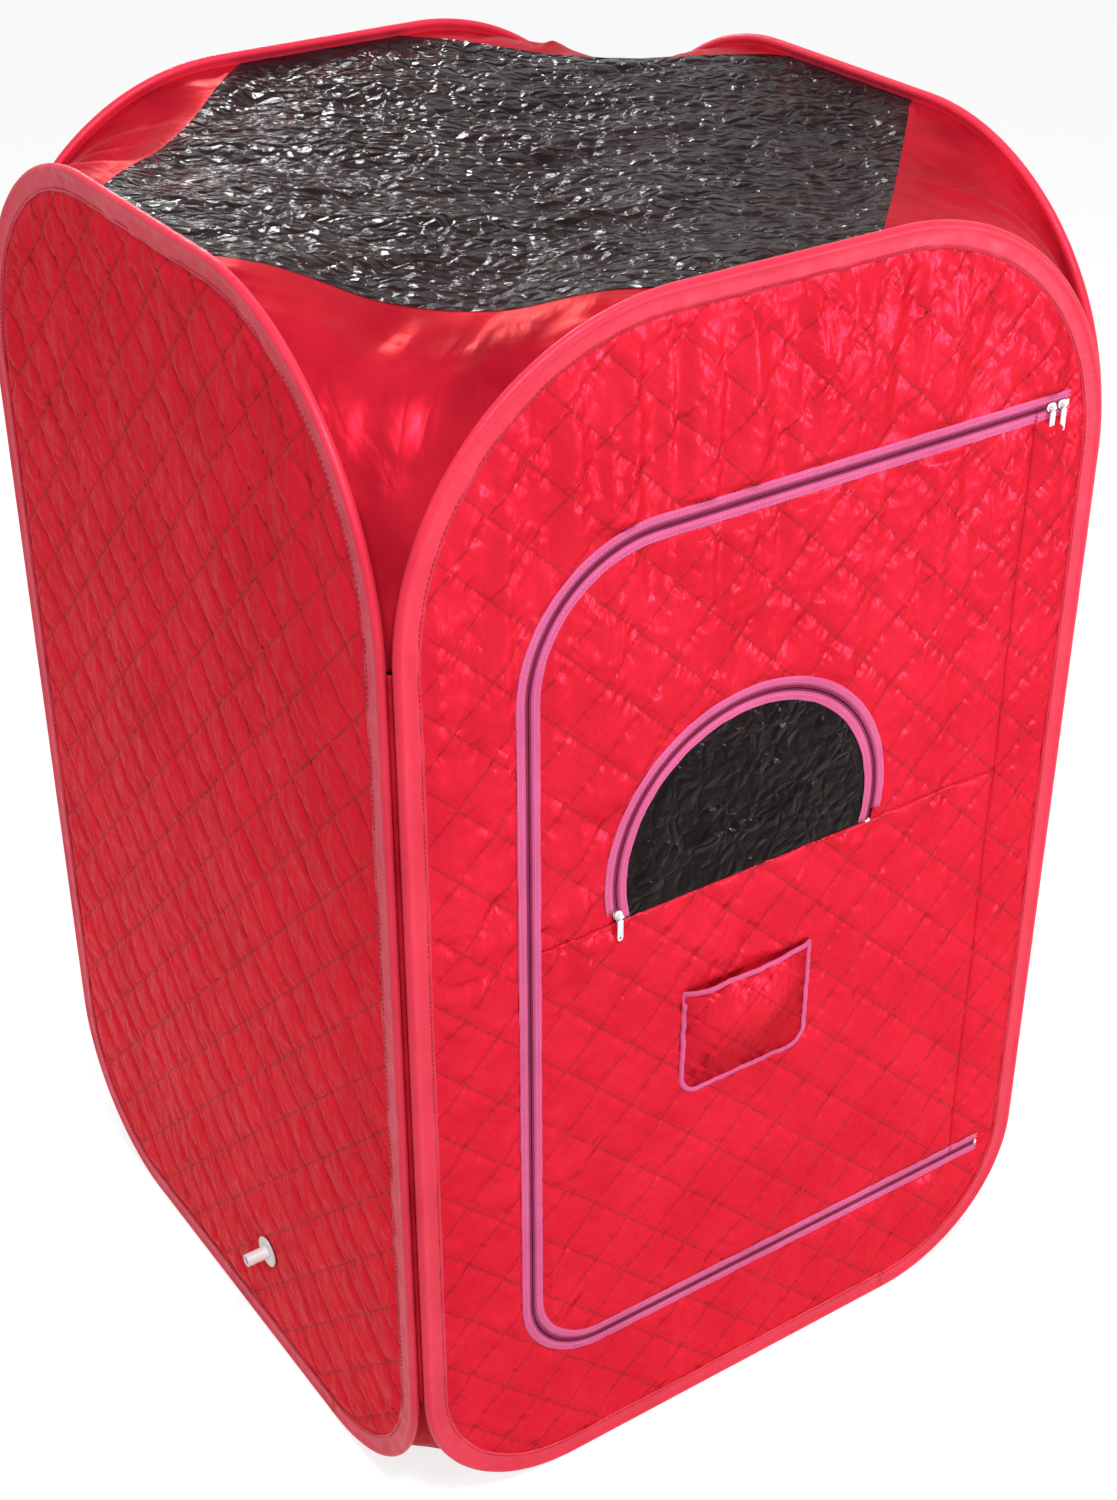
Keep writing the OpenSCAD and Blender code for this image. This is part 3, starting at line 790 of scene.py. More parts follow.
QUILT = Finish(
    "quilted_red_satin", (0.70, 0.020, 0.043), (0.60, 0.014, 0.032), roughness=0.30, metallic=0.38,
    weave=0.02, crease=6.0, crease_size=26.0, pinch=7.0, specular=0.02, gleam=(1.0, 0.15, 0.22),
)
# plain red satin of the gussets and corner strips, darker than the quilted satin as painted shade to offset
# the key lamp right above the gussets; deep gives random darker patches
SHADE_DARKENED_SATIN = Finish(
    "shade_darkened_red_satin", (0.47, 0.012, 0.027), (0.28, 0.005, 0.014), roughness=0.36, metallic=0.34, weave=0.02,
    crease=7.0, crease_size=14.0, specular=0.02, gleam=(1.0, 0.15, 0.22),
)
BINDING = Finish(
    "coral_binding_satin", (0.72, 0.030, 0.065), (0.62, 0.020, 0.048), roughness=0.44, metallic=0.15,
    weave=0.05, crease=1.2, crease_size=70.0, sheen=0.12, gleam=(1.0, 0.4, 0.5),
)
TAPE = Finish(
    "pink_zip_tape", (0.64, 0.085, 0.25), (0.54, 0.06, 0.19), roughness=0.68, weave=0.12, threads=3400.0,
    sheen=0.12,
)
COIL = Finish(
    "purple_nylon_coil", (0.27, 0.020, 0.085), (0.20, 0.014, 0.060), roughness=0.45, use_uv=False,
    specular=0.15,
)
THREAD = Finish(
    "red_sewing_thread", (0.40, 0.006, 0.016), (0.30, 0.004, 0.012), roughness=0.62, use_uv=False, sheen=0.2
)
PINK_THREAD = Finish(
    "pink_sewing_thread", (0.72, 0.20, 0.40), (0.62, 0.15, 0.34), roughness=0.65, use_uv=False, sheen=0.2
)
ROOF = Finish(
    "dark_crinkled_film", (0.018, 0.008, 0.009), (0.008, 0.003, 0.003), roughness=0.16, spread=0.05, film=6.5,
    specular=0.05,
)
WINDOW = Finish(
    "dark_window_film", (0.010, 0.004, 0.004), (0.004, 0.002, 0.002), roughness=0.14, spread=0.05, film=3.4,
    specular=0.06,
)
LINING = Finish(
    "dark_lining_film", (0.030, 0.017, 0.018), (0.014, 0.008, 0.008), roughness=0.32, film=1.4, pinch=1.2,
    specular=0.2,
)
FLOOR_CLOTH = Finish(
    "dark_floor_cloth", (0.040, 0.026, 0.027), (0.020, 0.013, 0.014), roughness=0.42, weave=0.15, crease=2.0,
    crease_size=12.0,
)
WHITE_METAL = Finish(
    "white_painted_zip_metal", (0.80, 0.79, 0.80), (0.70, 0.69, 0.70), roughness=0.32, use_uv=False, coat=0.3
)
WHITE_PLASTIC = Finish(
    "white_moulded_plastic", (0.82, 0.80, 0.79), (0.76, 0.74, 0.73), roughness=0.38, use_uv=False
)
RUBBER = Finish("pale_soft_rubber", (0.55, 0.54, 0.52), (0.48, 0.47, 0.45), roughness=0.7, use_uv=False)
STEEL = Finish(
    "bare_spring_steel", (0.50, 0.51, 0.54), (0.38, 0.38, 0.40), roughness=0.34, metallic=1.0, use_uv=False
)


class Wardrobe:
    """Every material, built when it is first asked for."""

    def __init__(self) -> None:
        """Builds the shared groups."""
        self.groups = Groups()
        self.made: dict[str, bpy.types.Material] = {}

    def get(self, finish: Finish) -> bpy.types.Material:
        """The material of a finish.

        Args:
            finish: The finish.

        Returns:
            Its material.
        """
        if finish.name not in self.made:
            self.made[finish.name] = finish.build(self.groups)
        return self.made[finish.name]

    def dress(self, made: bpy.types.Object, finish: Finish) -> bpy.types.Object:
        """Gives an object one finish and returns it."""
        made.data.materials.clear()
        made.data.materials.append(self.get(finish))
        return made


# ---------------------------------------------------------------- repeated small things


class RowKind(Enum):
    """What a row is made of: its tree's name, its finish, and whether it is teeth."""

    STITCH = ("stitch_row", THREAD, False)
    PINK_STITCH = ("pink_stitch_row", PINK_THREAD, False)
    TOOTH = ("zip_tooth_row", COIL, True)


@dataclass(frozen=True)
class RowSize:
    """One kind of row and its sizes in metres.

    Attributes:
        kind: What it is made of.
        pitch: Distance from one stitch or tooth to the next.
        length: Length of each.
        thickness: Thickness of each, or a tooth's radius.
    """

    kind: RowKind
    pitch: float
    length: float
    thickness: float


BINDING_STITCH = RowSize(RowKind.STITCH, 0.0062, 0.0040, 0.0007)
QUILT_STITCH = RowSize(RowKind.STITCH, 0.0062, 0.0044, 0.0007)
SEAM_STITCH = RowSize(RowKind.STITCH, 0.0052, 0.0036, 0.0009)
TAPE_STITCH = RowSize(RowKind.PINK_STITCH, 0.0052, 0.0034, 0.0006)
ZIP_TOOTH = RowSize(RowKind.TOOTH, 0.0021, 0.0023, 0.00105)


def row_tree(name: str, material: bpy.types.Material, tooth: bool) -> bpy.types.NodeTree:
    """A geometry tree that sets stitches or zip teeth along the edges of a guide.

    Args:
        name: The tree's name.
        material: What the row is made of.
        tooth: Whether it makes teeth across the guide, or stitches along it.

    Returns:
        The tree, with inputs Pitch, Length, Thickness and Facing.
    """
    tree = bpy.data.node_groups.new(name, "GeometryNodeTree")
    tree.interface.new_socket("Geometry", in_out="INPUT", socket_type="NodeSocketGeometry")
    for key, value in (("Pitch", 0.006), ("Length", 0.004), ("Thickness", 0.0008)):
        tree.interface.new_socket(key, in_out="INPUT", socket_type="NodeSocketFloat").default_value = value
    tree.interface.new_socket(
        "Facing", in_out="INPUT", socket_type="NodeSocketVector"
    ).default_value = (0, -1, 0)
    tree.interface.new_socket("Geometry", in_out="OUTPUT", socket_type="NodeSocketGeometry")
    t = Tree(tree)
    start = t.add("NodeGroupInput")
    curve = t.add("GeometryNodeMeshToCurve", {"Mesh": start.outputs["Geometry"]})
    even_row = t.add(
        "GeometryNodeResampleCurve", {"Curve": curve.outputs[0], "Length": start.outputs["Pitch"]},
        mode="LENGTH",
    )
    tangent = t.add("GeometryNodeInputTangent")
    if tooth:
        bar = t.add(
            "GeometryNodeMeshCylinder",
            {"Vertices": 6, "Radius": start.outputs["Thickness"], "Depth": start.outputs["Length"]},
        )
        across = t.add(
            "ShaderNodeVectorMath", {0: tangent.outputs[0], 1: start.outputs["Facing"]},
            operation="CROSS_PRODUCT",
        )
        turn = t.add("FunctionNodeAlignRotationToVector", {"Vector": across.outputs[0]}, axis="Z")
    else:
        size = t.add(
            "ShaderNodeCombineXYZ",
            {0: start.outputs["Length"], 1: start.outputs["Thickness"], 2: start.outputs["Thickness"]},
        )
        bar = t.add("GeometryNodeMeshCube", {"Size": size.outputs[0]})
        turn = t.add("FunctionNodeAlignRotationToVector", {"Vector": tangent.outputs[0]}, axis="X")
    placed = t.add(
        "GeometryNodeInstanceOnPoints",
        {"Points": even_row.outputs[0], "Instance": bar.outputs[0], "Rotation": turn.outputs[0]},
    )
    real = t.add("GeometryNodeRealizeInstances", {"Geometry": placed.outputs[0]})
    dressed = t.add("GeometryNodeSetMaterial", {"Geometry": real.outputs[0], "Material": material})
    end = t.add("NodeGroupOutput")
    tree.links.new(dressed.outputs[0], end.inputs[0])
    return tree


class Rows:
    """Makes rows of stitches and zip teeth along guide lines."""

    def __init__(self, wardrobe: Wardrobe) -> None:
        """Builds the trees.

        Args:
            wardrobe: The materials.
        """
        self.trees: dict[RowKind, bpy.types.NodeTree] = {}
        for kind in RowKind:
            name, finish, tooth = kind.value
            self.trees[kind] = row_tree(name, wardrobe.get(finish), tooth)

    def make(self, name: str, size: RowSize, lines: Sequence[Array], facing: Triple) -> bpy.types.Object:
        """A plain mesh of one row or more.

        Args:
            name: The piece's name.
            size: The row's kind and sizes.
            lines: The guide lines, each an array of points.
            facing: The way the cloth faces.

        Returns:
            The object.
        """
        guide = bpy.data.meshes.new(name + "_guide")
        points, edges, base = [], [], 0
        for line in lines:
            points += [tuple(p) for p in line]
            edges += [(base + i, base + i + 1) for i in range(len(line) - 1)]
            base += len(line)
        guide.from_pydata(points, edges, [])
        holder = bpy.data.objects.new(name + "_guide", guide)
        bpy.context.scene.collection.objects.link(holder)
        modifier = holder.modifiers.new("row", "NODES")
        modifier.node_group = self.trees[size.kind]
        values = {"Pitch": size.pitch, "Length": size.length, "Thickness": size.thickness, "Facing": facing}
        for item in modifier.node_group.interface.items_tree:
            if item.in_out == "INPUT" and item.name in values:
                modifier[item.identifier] = values[item.name]
        graph = bpy.context.evaluated_depsgraph_get()
        mesh = bpy.data.meshes.new_from_object(holder.evaluated_get(graph))
        mesh.name = name
        holder.modifiers.remove(modifier)
        bpy.data.objects.remove(holder)
        made = bpy.data.objects.new(name, mesh)
        bpy.context.scene.collection.objects.link(made)
        return made


# ---------------------------------------------------------------- relief of the quilted cloth


@dataclass(frozen=True)
class DoorSizes:
    """The door, its zip, the window and the pocket, as in the CAD, in metres."""

    left: float = -0.300
    end: float = 0.386
    fold: float = 0.340
    top: float = 1.210
    bottom: float = 0.180
    top_radius: float = 0.150
    bottom_radius: float = 0.095
    window_x: float = -0.020
    seam: float = 0.765
    rise: float = 0.044
    window_radius: float = 0.174
    pocket_x: float = -0.013
    pocket_z: float = 0.487
    pocket_width: float = 0.180
    pocket_height: float = 0.148
    pocket_radius: float = 0.026
    slit: float = 0.00015

    @property
    def outline(self) -> Outline:
        """The zip's middle line, open on the right."""
        return Outline(self.left, 10.0, self.bottom, self.top, self.bottom_radius, self.top_radius, True)

    @property
    def window_z(self) -> float:
        """Height of the middle of the window's arch."""
        return self.seam + self.rise

    @property
    def pocket(self) -> Outline:
        """The pocket's outline."""
        half = self.pocket_width / 2
        return Outline(
            self.pocket_x - half, self.pocket_x + half, self.pocket_z, self.pocket_z + self.pocket_height,
            self.pocket_radius, 0.001,
        )

    def zip_path(self, spacing: float) -> Loop:
        """The zip's middle line, from its upper right end round to its lower right end.

        Args:
            spacing: Distance between points.

        Returns:
            The points.
        """
        points: Loop = [(self.end, self.top)]
        for radius, cz, start in (
            (self.top_radius, self.top - self.top_radius, 90),
            (self.bottom_radius, self.bottom + self.bottom_radius, 180),
        ):
            angles = [math.radians(start + 3 * i) for i in range(31)]
            points += arc_points(self.left + radius, cz, radius, angles)
        points.append((self.end, self.bottom))
        return even(resample(points, spacing, False), spacing, False)

    def arch(self, base: float, spacing: float) -> Loop:
        """The window zip's middle line, from left to right, from a height over the seam.

        Args:
            base: The height of its ends over the seam.
            spacing: Distance between points.

        Returns:
            The points.
        """
        low = math.asin((base - self.rise) / self.window_radius)
        n = max(4, round((math.pi - 2 * low) * self.window_radius / spacing))
        return self.window_arc(self.window_radius, low, n)

    def window_arc(self, radius: float, low: float, n: int) -> Loop:
        """An arc round the window's middle, from left to right.

        Args:
            radius: Its radius.
            low: The angle of its ends over the level.
            n: How many steps it has.

        Returns:
            The points.
        """
        angles = [math.pi - low - (math.pi - 2 * low) * i / n for i in range(n + 1)]
        return arc_points(self.window_x, self.window_z, radius, angles)


@dataclass(frozen=True)
class Relief:
    """How far a wall's quilted face stands out from its flat cloth.

    Attributes:
        m: The cabin's measures.
        seed: Which noise.
        door: The door's sizes, on the front wall only.
        inlet: The steam inlet's place, on the left wall only.
        puff: Height of the diamonds.
        folds: Depth of the long soft folds under the top binding.
        waves: Depth of the broad waves.
        crumple: How much the satin wrinkles, 1 on the slackest wall.
    """

    m: Measures
    seed: int
    door: DoorSizes | None = None
    inlet: tuple[float, float] | None = None
    puff: float = 0.0034
    folds: float = 0.0075
    waves: float = 0.0070
    crumple: float = 1.0

    @property
    def wall(self) -> Outline:
        """The hoop's outer line."""
        m = self.m
        return Outline(-m.wall_half, m.wall_half, 0, m.height, m.bottom_radius, m.top_radius)

    def lift(self, x: Array, z: Array) -> Array:
        """The outward height of the cloth's face.

        Args:
            x: Positions across.
            z: Heights.

        Returns:
            Heights over the flat cloth in metres.
        """
        m, s = self.m, self.seed
        edge = self.wall.distance(x, z) - m.binding
        near = smooth(edge / 0.016)
        broad = smooth(edge / 0.09)
        fx, fz = self.wall.foot(x, z)
        gather = noise((fx + 0.7 * fz) / 0.013, (fz - 0.7 * fx) / 0.013, s + 11)
        pinch = 0.0026 * gather * np.exp(-np.maximum(edge, 0) / 0.030)
        if self.door:
            gap, zip_pinch = self.zip_gap(x, z)
            near = near * smooth(gap / 0.010)
            broad = broad * smooth(gap / 0.06)
            pinch = pinch + zip_pinch
            seam = np.abs(z - self.door.seam)
            near = near * (0.25 + 0.75 * smooth(seam / 0.010))
            pocket = self.door.pocket.distance(x, z)
            near = near * (1 - 0.9 * smooth((pocket + 0.004) / 0.010))
            fold = smooth(np.abs(x - self.door.fold) / 0.014)
            inside = smooth((z - self.door.bottom) / 0.03) * smooth((self.door.top - z) / 0.03)
            near = near * (1 - 0.8 * (1 - fold) * inside)
            broad = broad * (1 - smooth((pocket + 0.030) / 0.030))
        if self.inlet:
            ring = np.hypot(x - self.inlet[0], z - self.inlet[1]) - 0.021
            near = near * smooth(ring / 0.012)
            broad = broad * smooth(ring / 0.05)
        diamond = diamonds(x, z, m.quilt_pitch, 0.35)
        slack = 0.75 + 0.35 * noise(x / 0.10, z / 0.10, s + 3)
        puff = self.puff * diamond * slack
        below_top = m.height - m.binding - z
        hang = np.exp(-((below_top / 0.30) ** 2)) + 0.28
        drape = noise(x / 0.030 + 0.9 * noise(x / 0.2, z / 0.25, s + 5), z / 0.30, s + 6)
        drape = drape + 0.6 * noise(x / 0.013, z / 0.13, s + 7)
        folds = self.folds * hang * drape
        wave = self.waves * clouds(x / 0.26, z / 0.34, s + 8)
        tilt = 0.6 * noise(x / 0.15, z / 0.15, s + 13)
        loose = 0.45 + 0.55 * hang
        small = 0.0026 * ridges((x + tilt * z) / 0.034, z / 0.080, s + 9) * loose * self.crumple
        total = near * (puff + small + folds * smooth(edge / 0.03) + pinch) + broad * wave
        if self.door:
            total = total + near * self.seam_pull(x, z)
        return np.maximum(total, -0.0012 - 0.002 * broad)

    def zip_gap(self, x: Array, z: Array) -> tuple[Array, Array]:
        """Distance to the nearest zip tape, and the small pulls that run from it.

        Args:
            x: Positions across.
            z: Heights.

        Returns:
            Distances and heights.
        """
        d = self.door
        line = d.outline.distance(x, z)
        past = np.maximum(x - d.end, 0)
        door_gap = np.hypot(line, past) - 0.0145
        ring = np.hypot(x - d.window_x, z - d.window_z) - d.window_radius
        below = np.maximum(d.seam - z, 0)
        window_gap = np.hypot(ring, below) - 0.0145
        fx, fz = d.outline.foot(x, z)
        one = noise((fx + 0.6 * fz) / 0.012, (fz - 0.6 * fx) / 0.012, self.seed + 21)
        two = noise((fx + 0.6 * fz) / 0.034, (fz - 0.6 * fx) / 0.034, self.seed + 22)
        far = np.maximum(door_gap, 0)
        pull = 0.0024 * one * np.exp(-far / 0.028) + 0.0048 * two * np.exp(-far / 0.075)
        turn = np.arctan2(z - d.window_z, x - d.window_x) * d.window_radius
        round_it = noise(turn / 0.014, turn * 0 + 3, self.seed + 23)
        pull = pull + 0.0034 * round_it * np.exp(-np.maximum(window_gap, 0) / 0.035)
        return np.minimum(door_gap, window_gap), pull

    def seam_pull(self, x: Array, z: Array) -> Array:
        """Folds that hang from the seam across the door and stand above it.

        Args:
            x: Positions across.
            z: Heights.

        Returns:
            Heights.
        """
        off = np.abs(z - self.door.seam)
        wide = noise(x / 0.026, z * 0 + 5, self.seed + 31)
        fine = noise(x / 0.012, z * 0 + 6, self.seed + 32)
        return (0.0050 * wide + 0.0022 * fine) * np.exp(-off / 0.060)


def diamonds(x: Array, z: Array, pitch: float, power: float) -> Array:
    """The quilting's diamonds: 0 on the stitched lines, 1 in the middles."""
    u, v = (x + z) / ROOT_TWO, (x - z) / ROOT_TWO
    return (np.abs(np.sin(math.pi * u / pitch)) * np.abs(np.sin(math.pi * v / pitch))) ** power


def closed_panel(
    name: str, loops: Sequence[Loop], inside: Field, lattice: Array, lift: Field, place: Placer, front: float,
    back: float,
) -> bpy.types.Object:
    """A padded panel: a lifted front, a flat back and a rim.

    Args:
        name: The piece's name.
        loops: Its border lines.
        inside: Says which positions are inside.
        lattice: Points of its face.
        lift: The face's height over the flat cloth.
        place: Puts it in the cabin.
        front: Depth of the flat face, outward from the wall's middle.
        back: Depth of the back, inward.

    Returns:
        The object.
    """
    face, tris, rings = triangulate(loops, lattice, inside)
    rear, rear_tris, rear_rings = triangulate(loops, np.zeros((0, 2)), inside)
    x, z = face[:, 0], face[:, 1]
    fore = place(x, -front - lift(x, z), z)
    aft = place(rear[:, 0], np.full(len(rear), back), rear[:, 1])
    faces = [list(t) for t in tris] + [[len(face) + i for i in t[::-1]] for t in rear_tris]
    for ring, rear_ring in zip(rings, rear_rings):
        n = len(ring)
        for i in range(n):
            j = (i + 1) % n
            faces.append([ring[j], ring[i], len(face) + rear_ring[i], len(face) + rear_ring[j]])
    uv = np.concatenate([face, rear])
    return face_out(make_object(name, np.concatenate([fore, aft]), faces, uv))


def quilting_lines(
    low: tuple[float, float], high: tuple[float, float], pitch: float, keep: Field
) -> list[Loop]:
    """The quilting lines of an area, broken where there is no cloth.

    Args:
        low: Lowest corner of the area.
        high: Highest corner.
        pitch: Distance between lines.
        keep: Says where the lines are sewn.

    Returns:
        The lines.
    """
    lines: list[Loop] = []
    span = math.hypot(high[0] - low[0], high[1] - low[1])
    root = ROOT_TWO
    for sign in (1, -1):
        reach = int(2 * span / pitch)
        for k in range(-reach, reach + 1):
            t = np.arange(-2 * span, 2 * span, 0.0062)
            if sign == 1:
                x, z = (k * pitch + t) / root, (k * pitch - t) / root
            else:
                x, z = (t + k * pitch) / root, (t - k * pitch) / root
            good = (x > low[0]) & (x < high[0]) & (z > low[1]) & (z < high[1])
            x, z = x[good], z[good]
            if len(x) < 4:
                continue
            sewn = keep(x, z)
            run: Loop = []
            for a, b, ok in zip(x, z, sewn):
                if ok:
                    run.append((a, b))
                elif run:
                    lines.append(run)
                    run = []
            if run:
                lines.append(run)
    return [line for line in lines if len(line) > 3]


# ---------------------------------------------------------------- walls


@dataclass
class Workshop:
    """What every sub-assembly needs: measures, materials and rows.

    Attributes:
        m: The cabin's measures.
        wardrobe: The materials.
        rows: The maker of stitches and teeth.
    """

    m: Measures
    wardrobe: Wardrobe
    rows: Rows

    def settle(
        self, made: bpy.types.Object, finish: Finish | None, body: str, slot: str, nodes: Sequence[str] = ()
    ) -> bpy.types.Object:
        """Dresses a piece, hangs it on a body and hides the CAD nodes it stands for.

        Args:
            made: The piece.
            finish: Its finish, or None if it has one.
            body: The CAD body it moves with.
            slot: The record's material slot; not used.
            nodes: The CAD nodes it stands for.

        Returns:
            The piece.
        """
        if finish:
            self.wardrobe.dress(made, finish)
        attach(made, body)
        if nodes:
            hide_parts(*nodes)
        log.info("%s: %d faces on %s", made.name, len(made.data.polygons), body)
        return made


@dataclass
class Wall:
    """One hoop wall: binding, quilted panel, lining and stitching.

    Attributes:
        shop: The workshop.
        side: Which wall.
        relief: Its face's relief.
        wrinkle: Depth of the binding's wrinkles.
    """

    shop: Workshop
    side: Side
    relief: Relief
    wrinkle: float = 0.0008

    @property
    def place(self) -> Placer:
        """Puts the wall's own positions in the cabin."""
        return placer(self.side, self.shop.m)

    @property
    def facing(self) -> Triple:
        """The way the wall faces."""
        origin = self.place(np.zeros(1), np.zeros(1), np.zeros(1))
        return tuple(float(a) for a in (self.place(np.zeros(1), -np.ones(1), np.zeros(1)) - origin)[0])

    def panel_loops(self) -> list[Loop]:
        """The panel's border lines."""
        loops = [self.relief.wall.loop(self.shop.m.cloth_inset, LINE_SPACING)]
        if self.relief.inlet:
            cx, cz = self.relief.inlet
            loops.append(arc_points(cx, cz, INLET_HOLE, (i * math.pi / 16 for i in range(32))))
        return loops

    def panel_inside(self, x: Array, z: Array) -> Array:
        """Says which positions are on the panel."""
        good = self.relief.wall.distance(x, z) > self.shop.m.cloth_inset
        if self.relief.inlet:
            good &= np.hypot(x - self.relief.inlet[0], z - self.relief.inlet[1]) > INLET_HOLE
        return good

    def lattice(self, spacing: int, margin: float = 0.003) -> Array:
        """Points of the wall's face on 45 degree lines, clear of its borders.

        Args:
            spacing: Points from one quilting line to the next.
            margin: Least distance from the binding's slot.

        Returns:
            The points.
        """
        m = self.shop.m
        points = diagonal_lattice((-m.wall_half, 0), (m.wall_half, m.height), m.quilt_pitch, spacing)
        keep = self.relief.wall.distance(points[:, 0], points[:, 1]) > m.cloth_inset + margin
        if self.relief.inlet:
            cx, cz = self.relief.inlet
            keep &= np.hypot(points[:, 0] - cx, points[:, 1] - cz) > INLET_CLEAR
        return points[keep]

    def build(self) -> None:
        """Builds the wall's pieces."""
        self.binding()
        self.panel()
        self.lining()
        self.stitches()

    def binding(self) -> None:
        """The folded binding over the hoop, with its row of stitches each side."""
        m, wall = self.shop.m, self.relief.wall
        path = np.array(even(wall.loop(0, LINE_SPACING), BINDING_SPACING, True))
        step = TINY_STEP
        px, pz = path[:, 0], path[:, 1]
        gx = wall.distance(px * 0.999 + step, pz) - wall.distance(px * 0.999 - step, pz)
        gz = wall.distance(px, pz + step) - wall.distance(px, pz - step)
        size = np.hypot(gx, gz)
        gx, gz = gx / size, gz / size
        zero = np.zeros(len(path))
        base = self.place(zero, zero, zero)
        line = self.place(px, zero, pz)
        across = self.place(gx, zero, gz) - base
        out = np.broadcast_to(np.array(self.facing), across.shape)
        w, tf, ch, r = m.binding, m.tape_face, m.cloth_half, m.bead
        bead = [(r - r * math.cos(a), r * math.sin(a)) for a in np.radians(np.linspace(125, -125, 13))]
        corners = [(w, tf), (w * 0.80, tf + 0.0003), (w * 0.58, tf + 0.0004), (0.0118, tf + 0.0005)] + bead
        corners += [(0.0118, -tf - 0.0005), (w * 0.58, -tf - 0.0004), (w * 0.80, -tf - 0.0003), (w, -tf)]
        corners += [(w, -ch), (0.0113, -ch), (0.0113, ch), (w, ch)]
        profile = np.broadcast_to(np.array(corners), (len(path), len(corners), 2)).copy()
        along = np.arange(len(path)) * BINDING_SPACING
        seed = 100 + self.relief.seed
        for j, (a, b) in enumerate(corners[:21]):
            share = min(1.0, abs(a - 0.004) / 0.012)
            bump = noise(along / 0.016, np.full(len(path), a / 0.012), seed)
            bump = bump + 0.7 * noise(along / 0.034, np.full(len(path), a / 0.02), seed + 1)
            profile[:, j, 1] += np.sign(b) * self.wrinkle * share * np.maximum(bump, -0.4)
        profile[:, [0, 20, 21, 24], 0] += 0.0007 * noise(along / 0.02, along * 0, seed + 2)[:, None]
        points, faces, uv = sweep(line, across, out, profile, True)
        made = face_out(make_object(f"{self.side.value}_hoop_binding", points, faces, uv), MERGE)
        self.shop.settle(made, BINDING, self.side.body, "binding_satin", [f"{self.side.value}_binding"])
        sewn = even(wall.loop(w - BINDING_HEM, LINE_SPACING), LINE_SPACING, True)
        ring = np.array(sewn + sewn[:1])
        rows = [
            self.place(ring[:, 0], np.full(len(ring), d), ring[:, 1]) for d in (-tf - 0.0006, tf + 0.0006)
        ]
        stitches = self.shop.rows.make(
            f"{self.side.value}_binding_stitches", BINDING_STITCH, rows, self.facing
        )
        self.shop.settle(stitches, None, self.side.body, "binding_satin")

    def panel(self) -> None:
        """The quilted face."""
        m = self.shop.m
        made = closed_panel(
            f"{self.side.value}_quilted_panel", self.panel_loops(), self.panel_inside, self.lattice(11),
            self.relief.lift, self.place, m.cloth_half, 0.0018,
        )
        self.shop.settle(made, QUILT, self.side.body, "quilted_satin", [f"{self.side.value}_panel"])

    def lining_surface(
        self, name: str, loops: Sequence[Loop], inside: Field, lattice: Array
    ) -> tuple[bpy.types.Object, float]:
        """The thin lining inside the wall or the door.

        Args:
            name: The piece's name.
            loops: Its border lines.
            inside: Says which positions are inside.
            lattice: Points of its face.

        Returns:
            The object, facing into the cabin, and its flat area.
        """
        m = self.shop.m
        flat, tris, _ = triangulate(loops, lattice, inside)
        x, z = flat[:, 0], flat[:, 1]
        near = smooth((self.relief.wall.distance(x, z) - m.binding) / 0.012)
        if self.relief.door:
            near = near * smooth(self.relief.zip_gap(x, z)[0] / 0.010)
        diamond = diamonds(x, z, m.quilt_pitch, 0.6)
        puff = near * (0.0026 * diamond + 0.0012 * np.abs(clouds(x / 0.03, z / 0.03, self.relief.seed + 40)))
        points = self.place(x, 0.0022 + puff, z)
        a, b, c = (flat[tris[:, i]] for i in range(3))
        area = 0.5 * float(np.abs((b - a)[:, 0] * (c - a)[:, 1] - (b - a)[:, 1] * (c - a)[:, 0]).sum())
        return make_object(name, points, [list(t[::-1]) for t in tris], flat), area

    def lining(self) -> None:
        """The wall's lining."""
        made, area = self.lining_surface(
            f"{self.side.value}_inner_lining", self.panel_loops(), self.panel_inside, self.lattice(6, 0.006)
        )
        self.shop.settle(made, LINING, self.side.body, "lining_film", [f"{self.side.value}_lining"])

    def sewn(self, x: Array, z: Array) -> Array:
        """Says where the panel's quilting is sewn."""
        good = self.relief.wall.distance(x, z) > self.shop.m.binding + 0.002
        if self.relief.inlet:
            good &= np.hypot(x - self.relief.inlet[0], z - self.relief.inlet[1]) > INLET_SEWN
        return good

    def stitches(self) -> None:
        """The quilting stitches on the face."""
        self.stitch_piece(f"{self.side.value}_quilting_stitches", self.sewn, self.side.body)

    def stitch_piece(self, name: str, keep: Field, body: str) -> None:
        """One piece of quilting stitches.

        Args:
            name: The piece's name.
            keep: Says where it is sewn.
            body: The CAD body it moves with.
        """
        m = self.shop.m
        lines = []
        for line in quilting_lines((-m.wall_half, 0), (m.wall_half, m.height), m.quilt_pitch, keep):
            p = np.array(line)
            lines.append(
                self.place(p[:, 0], -m.cloth_half - self.relief.lift(p[:, 0], p[:, 1]) - 0.0001, p[:, 1])
            )
        made = self.shop.rows.make(name, QUILT_STITCH, lines, self.facing)
        self.shop.settle(made, None, body, "quilted_satin")


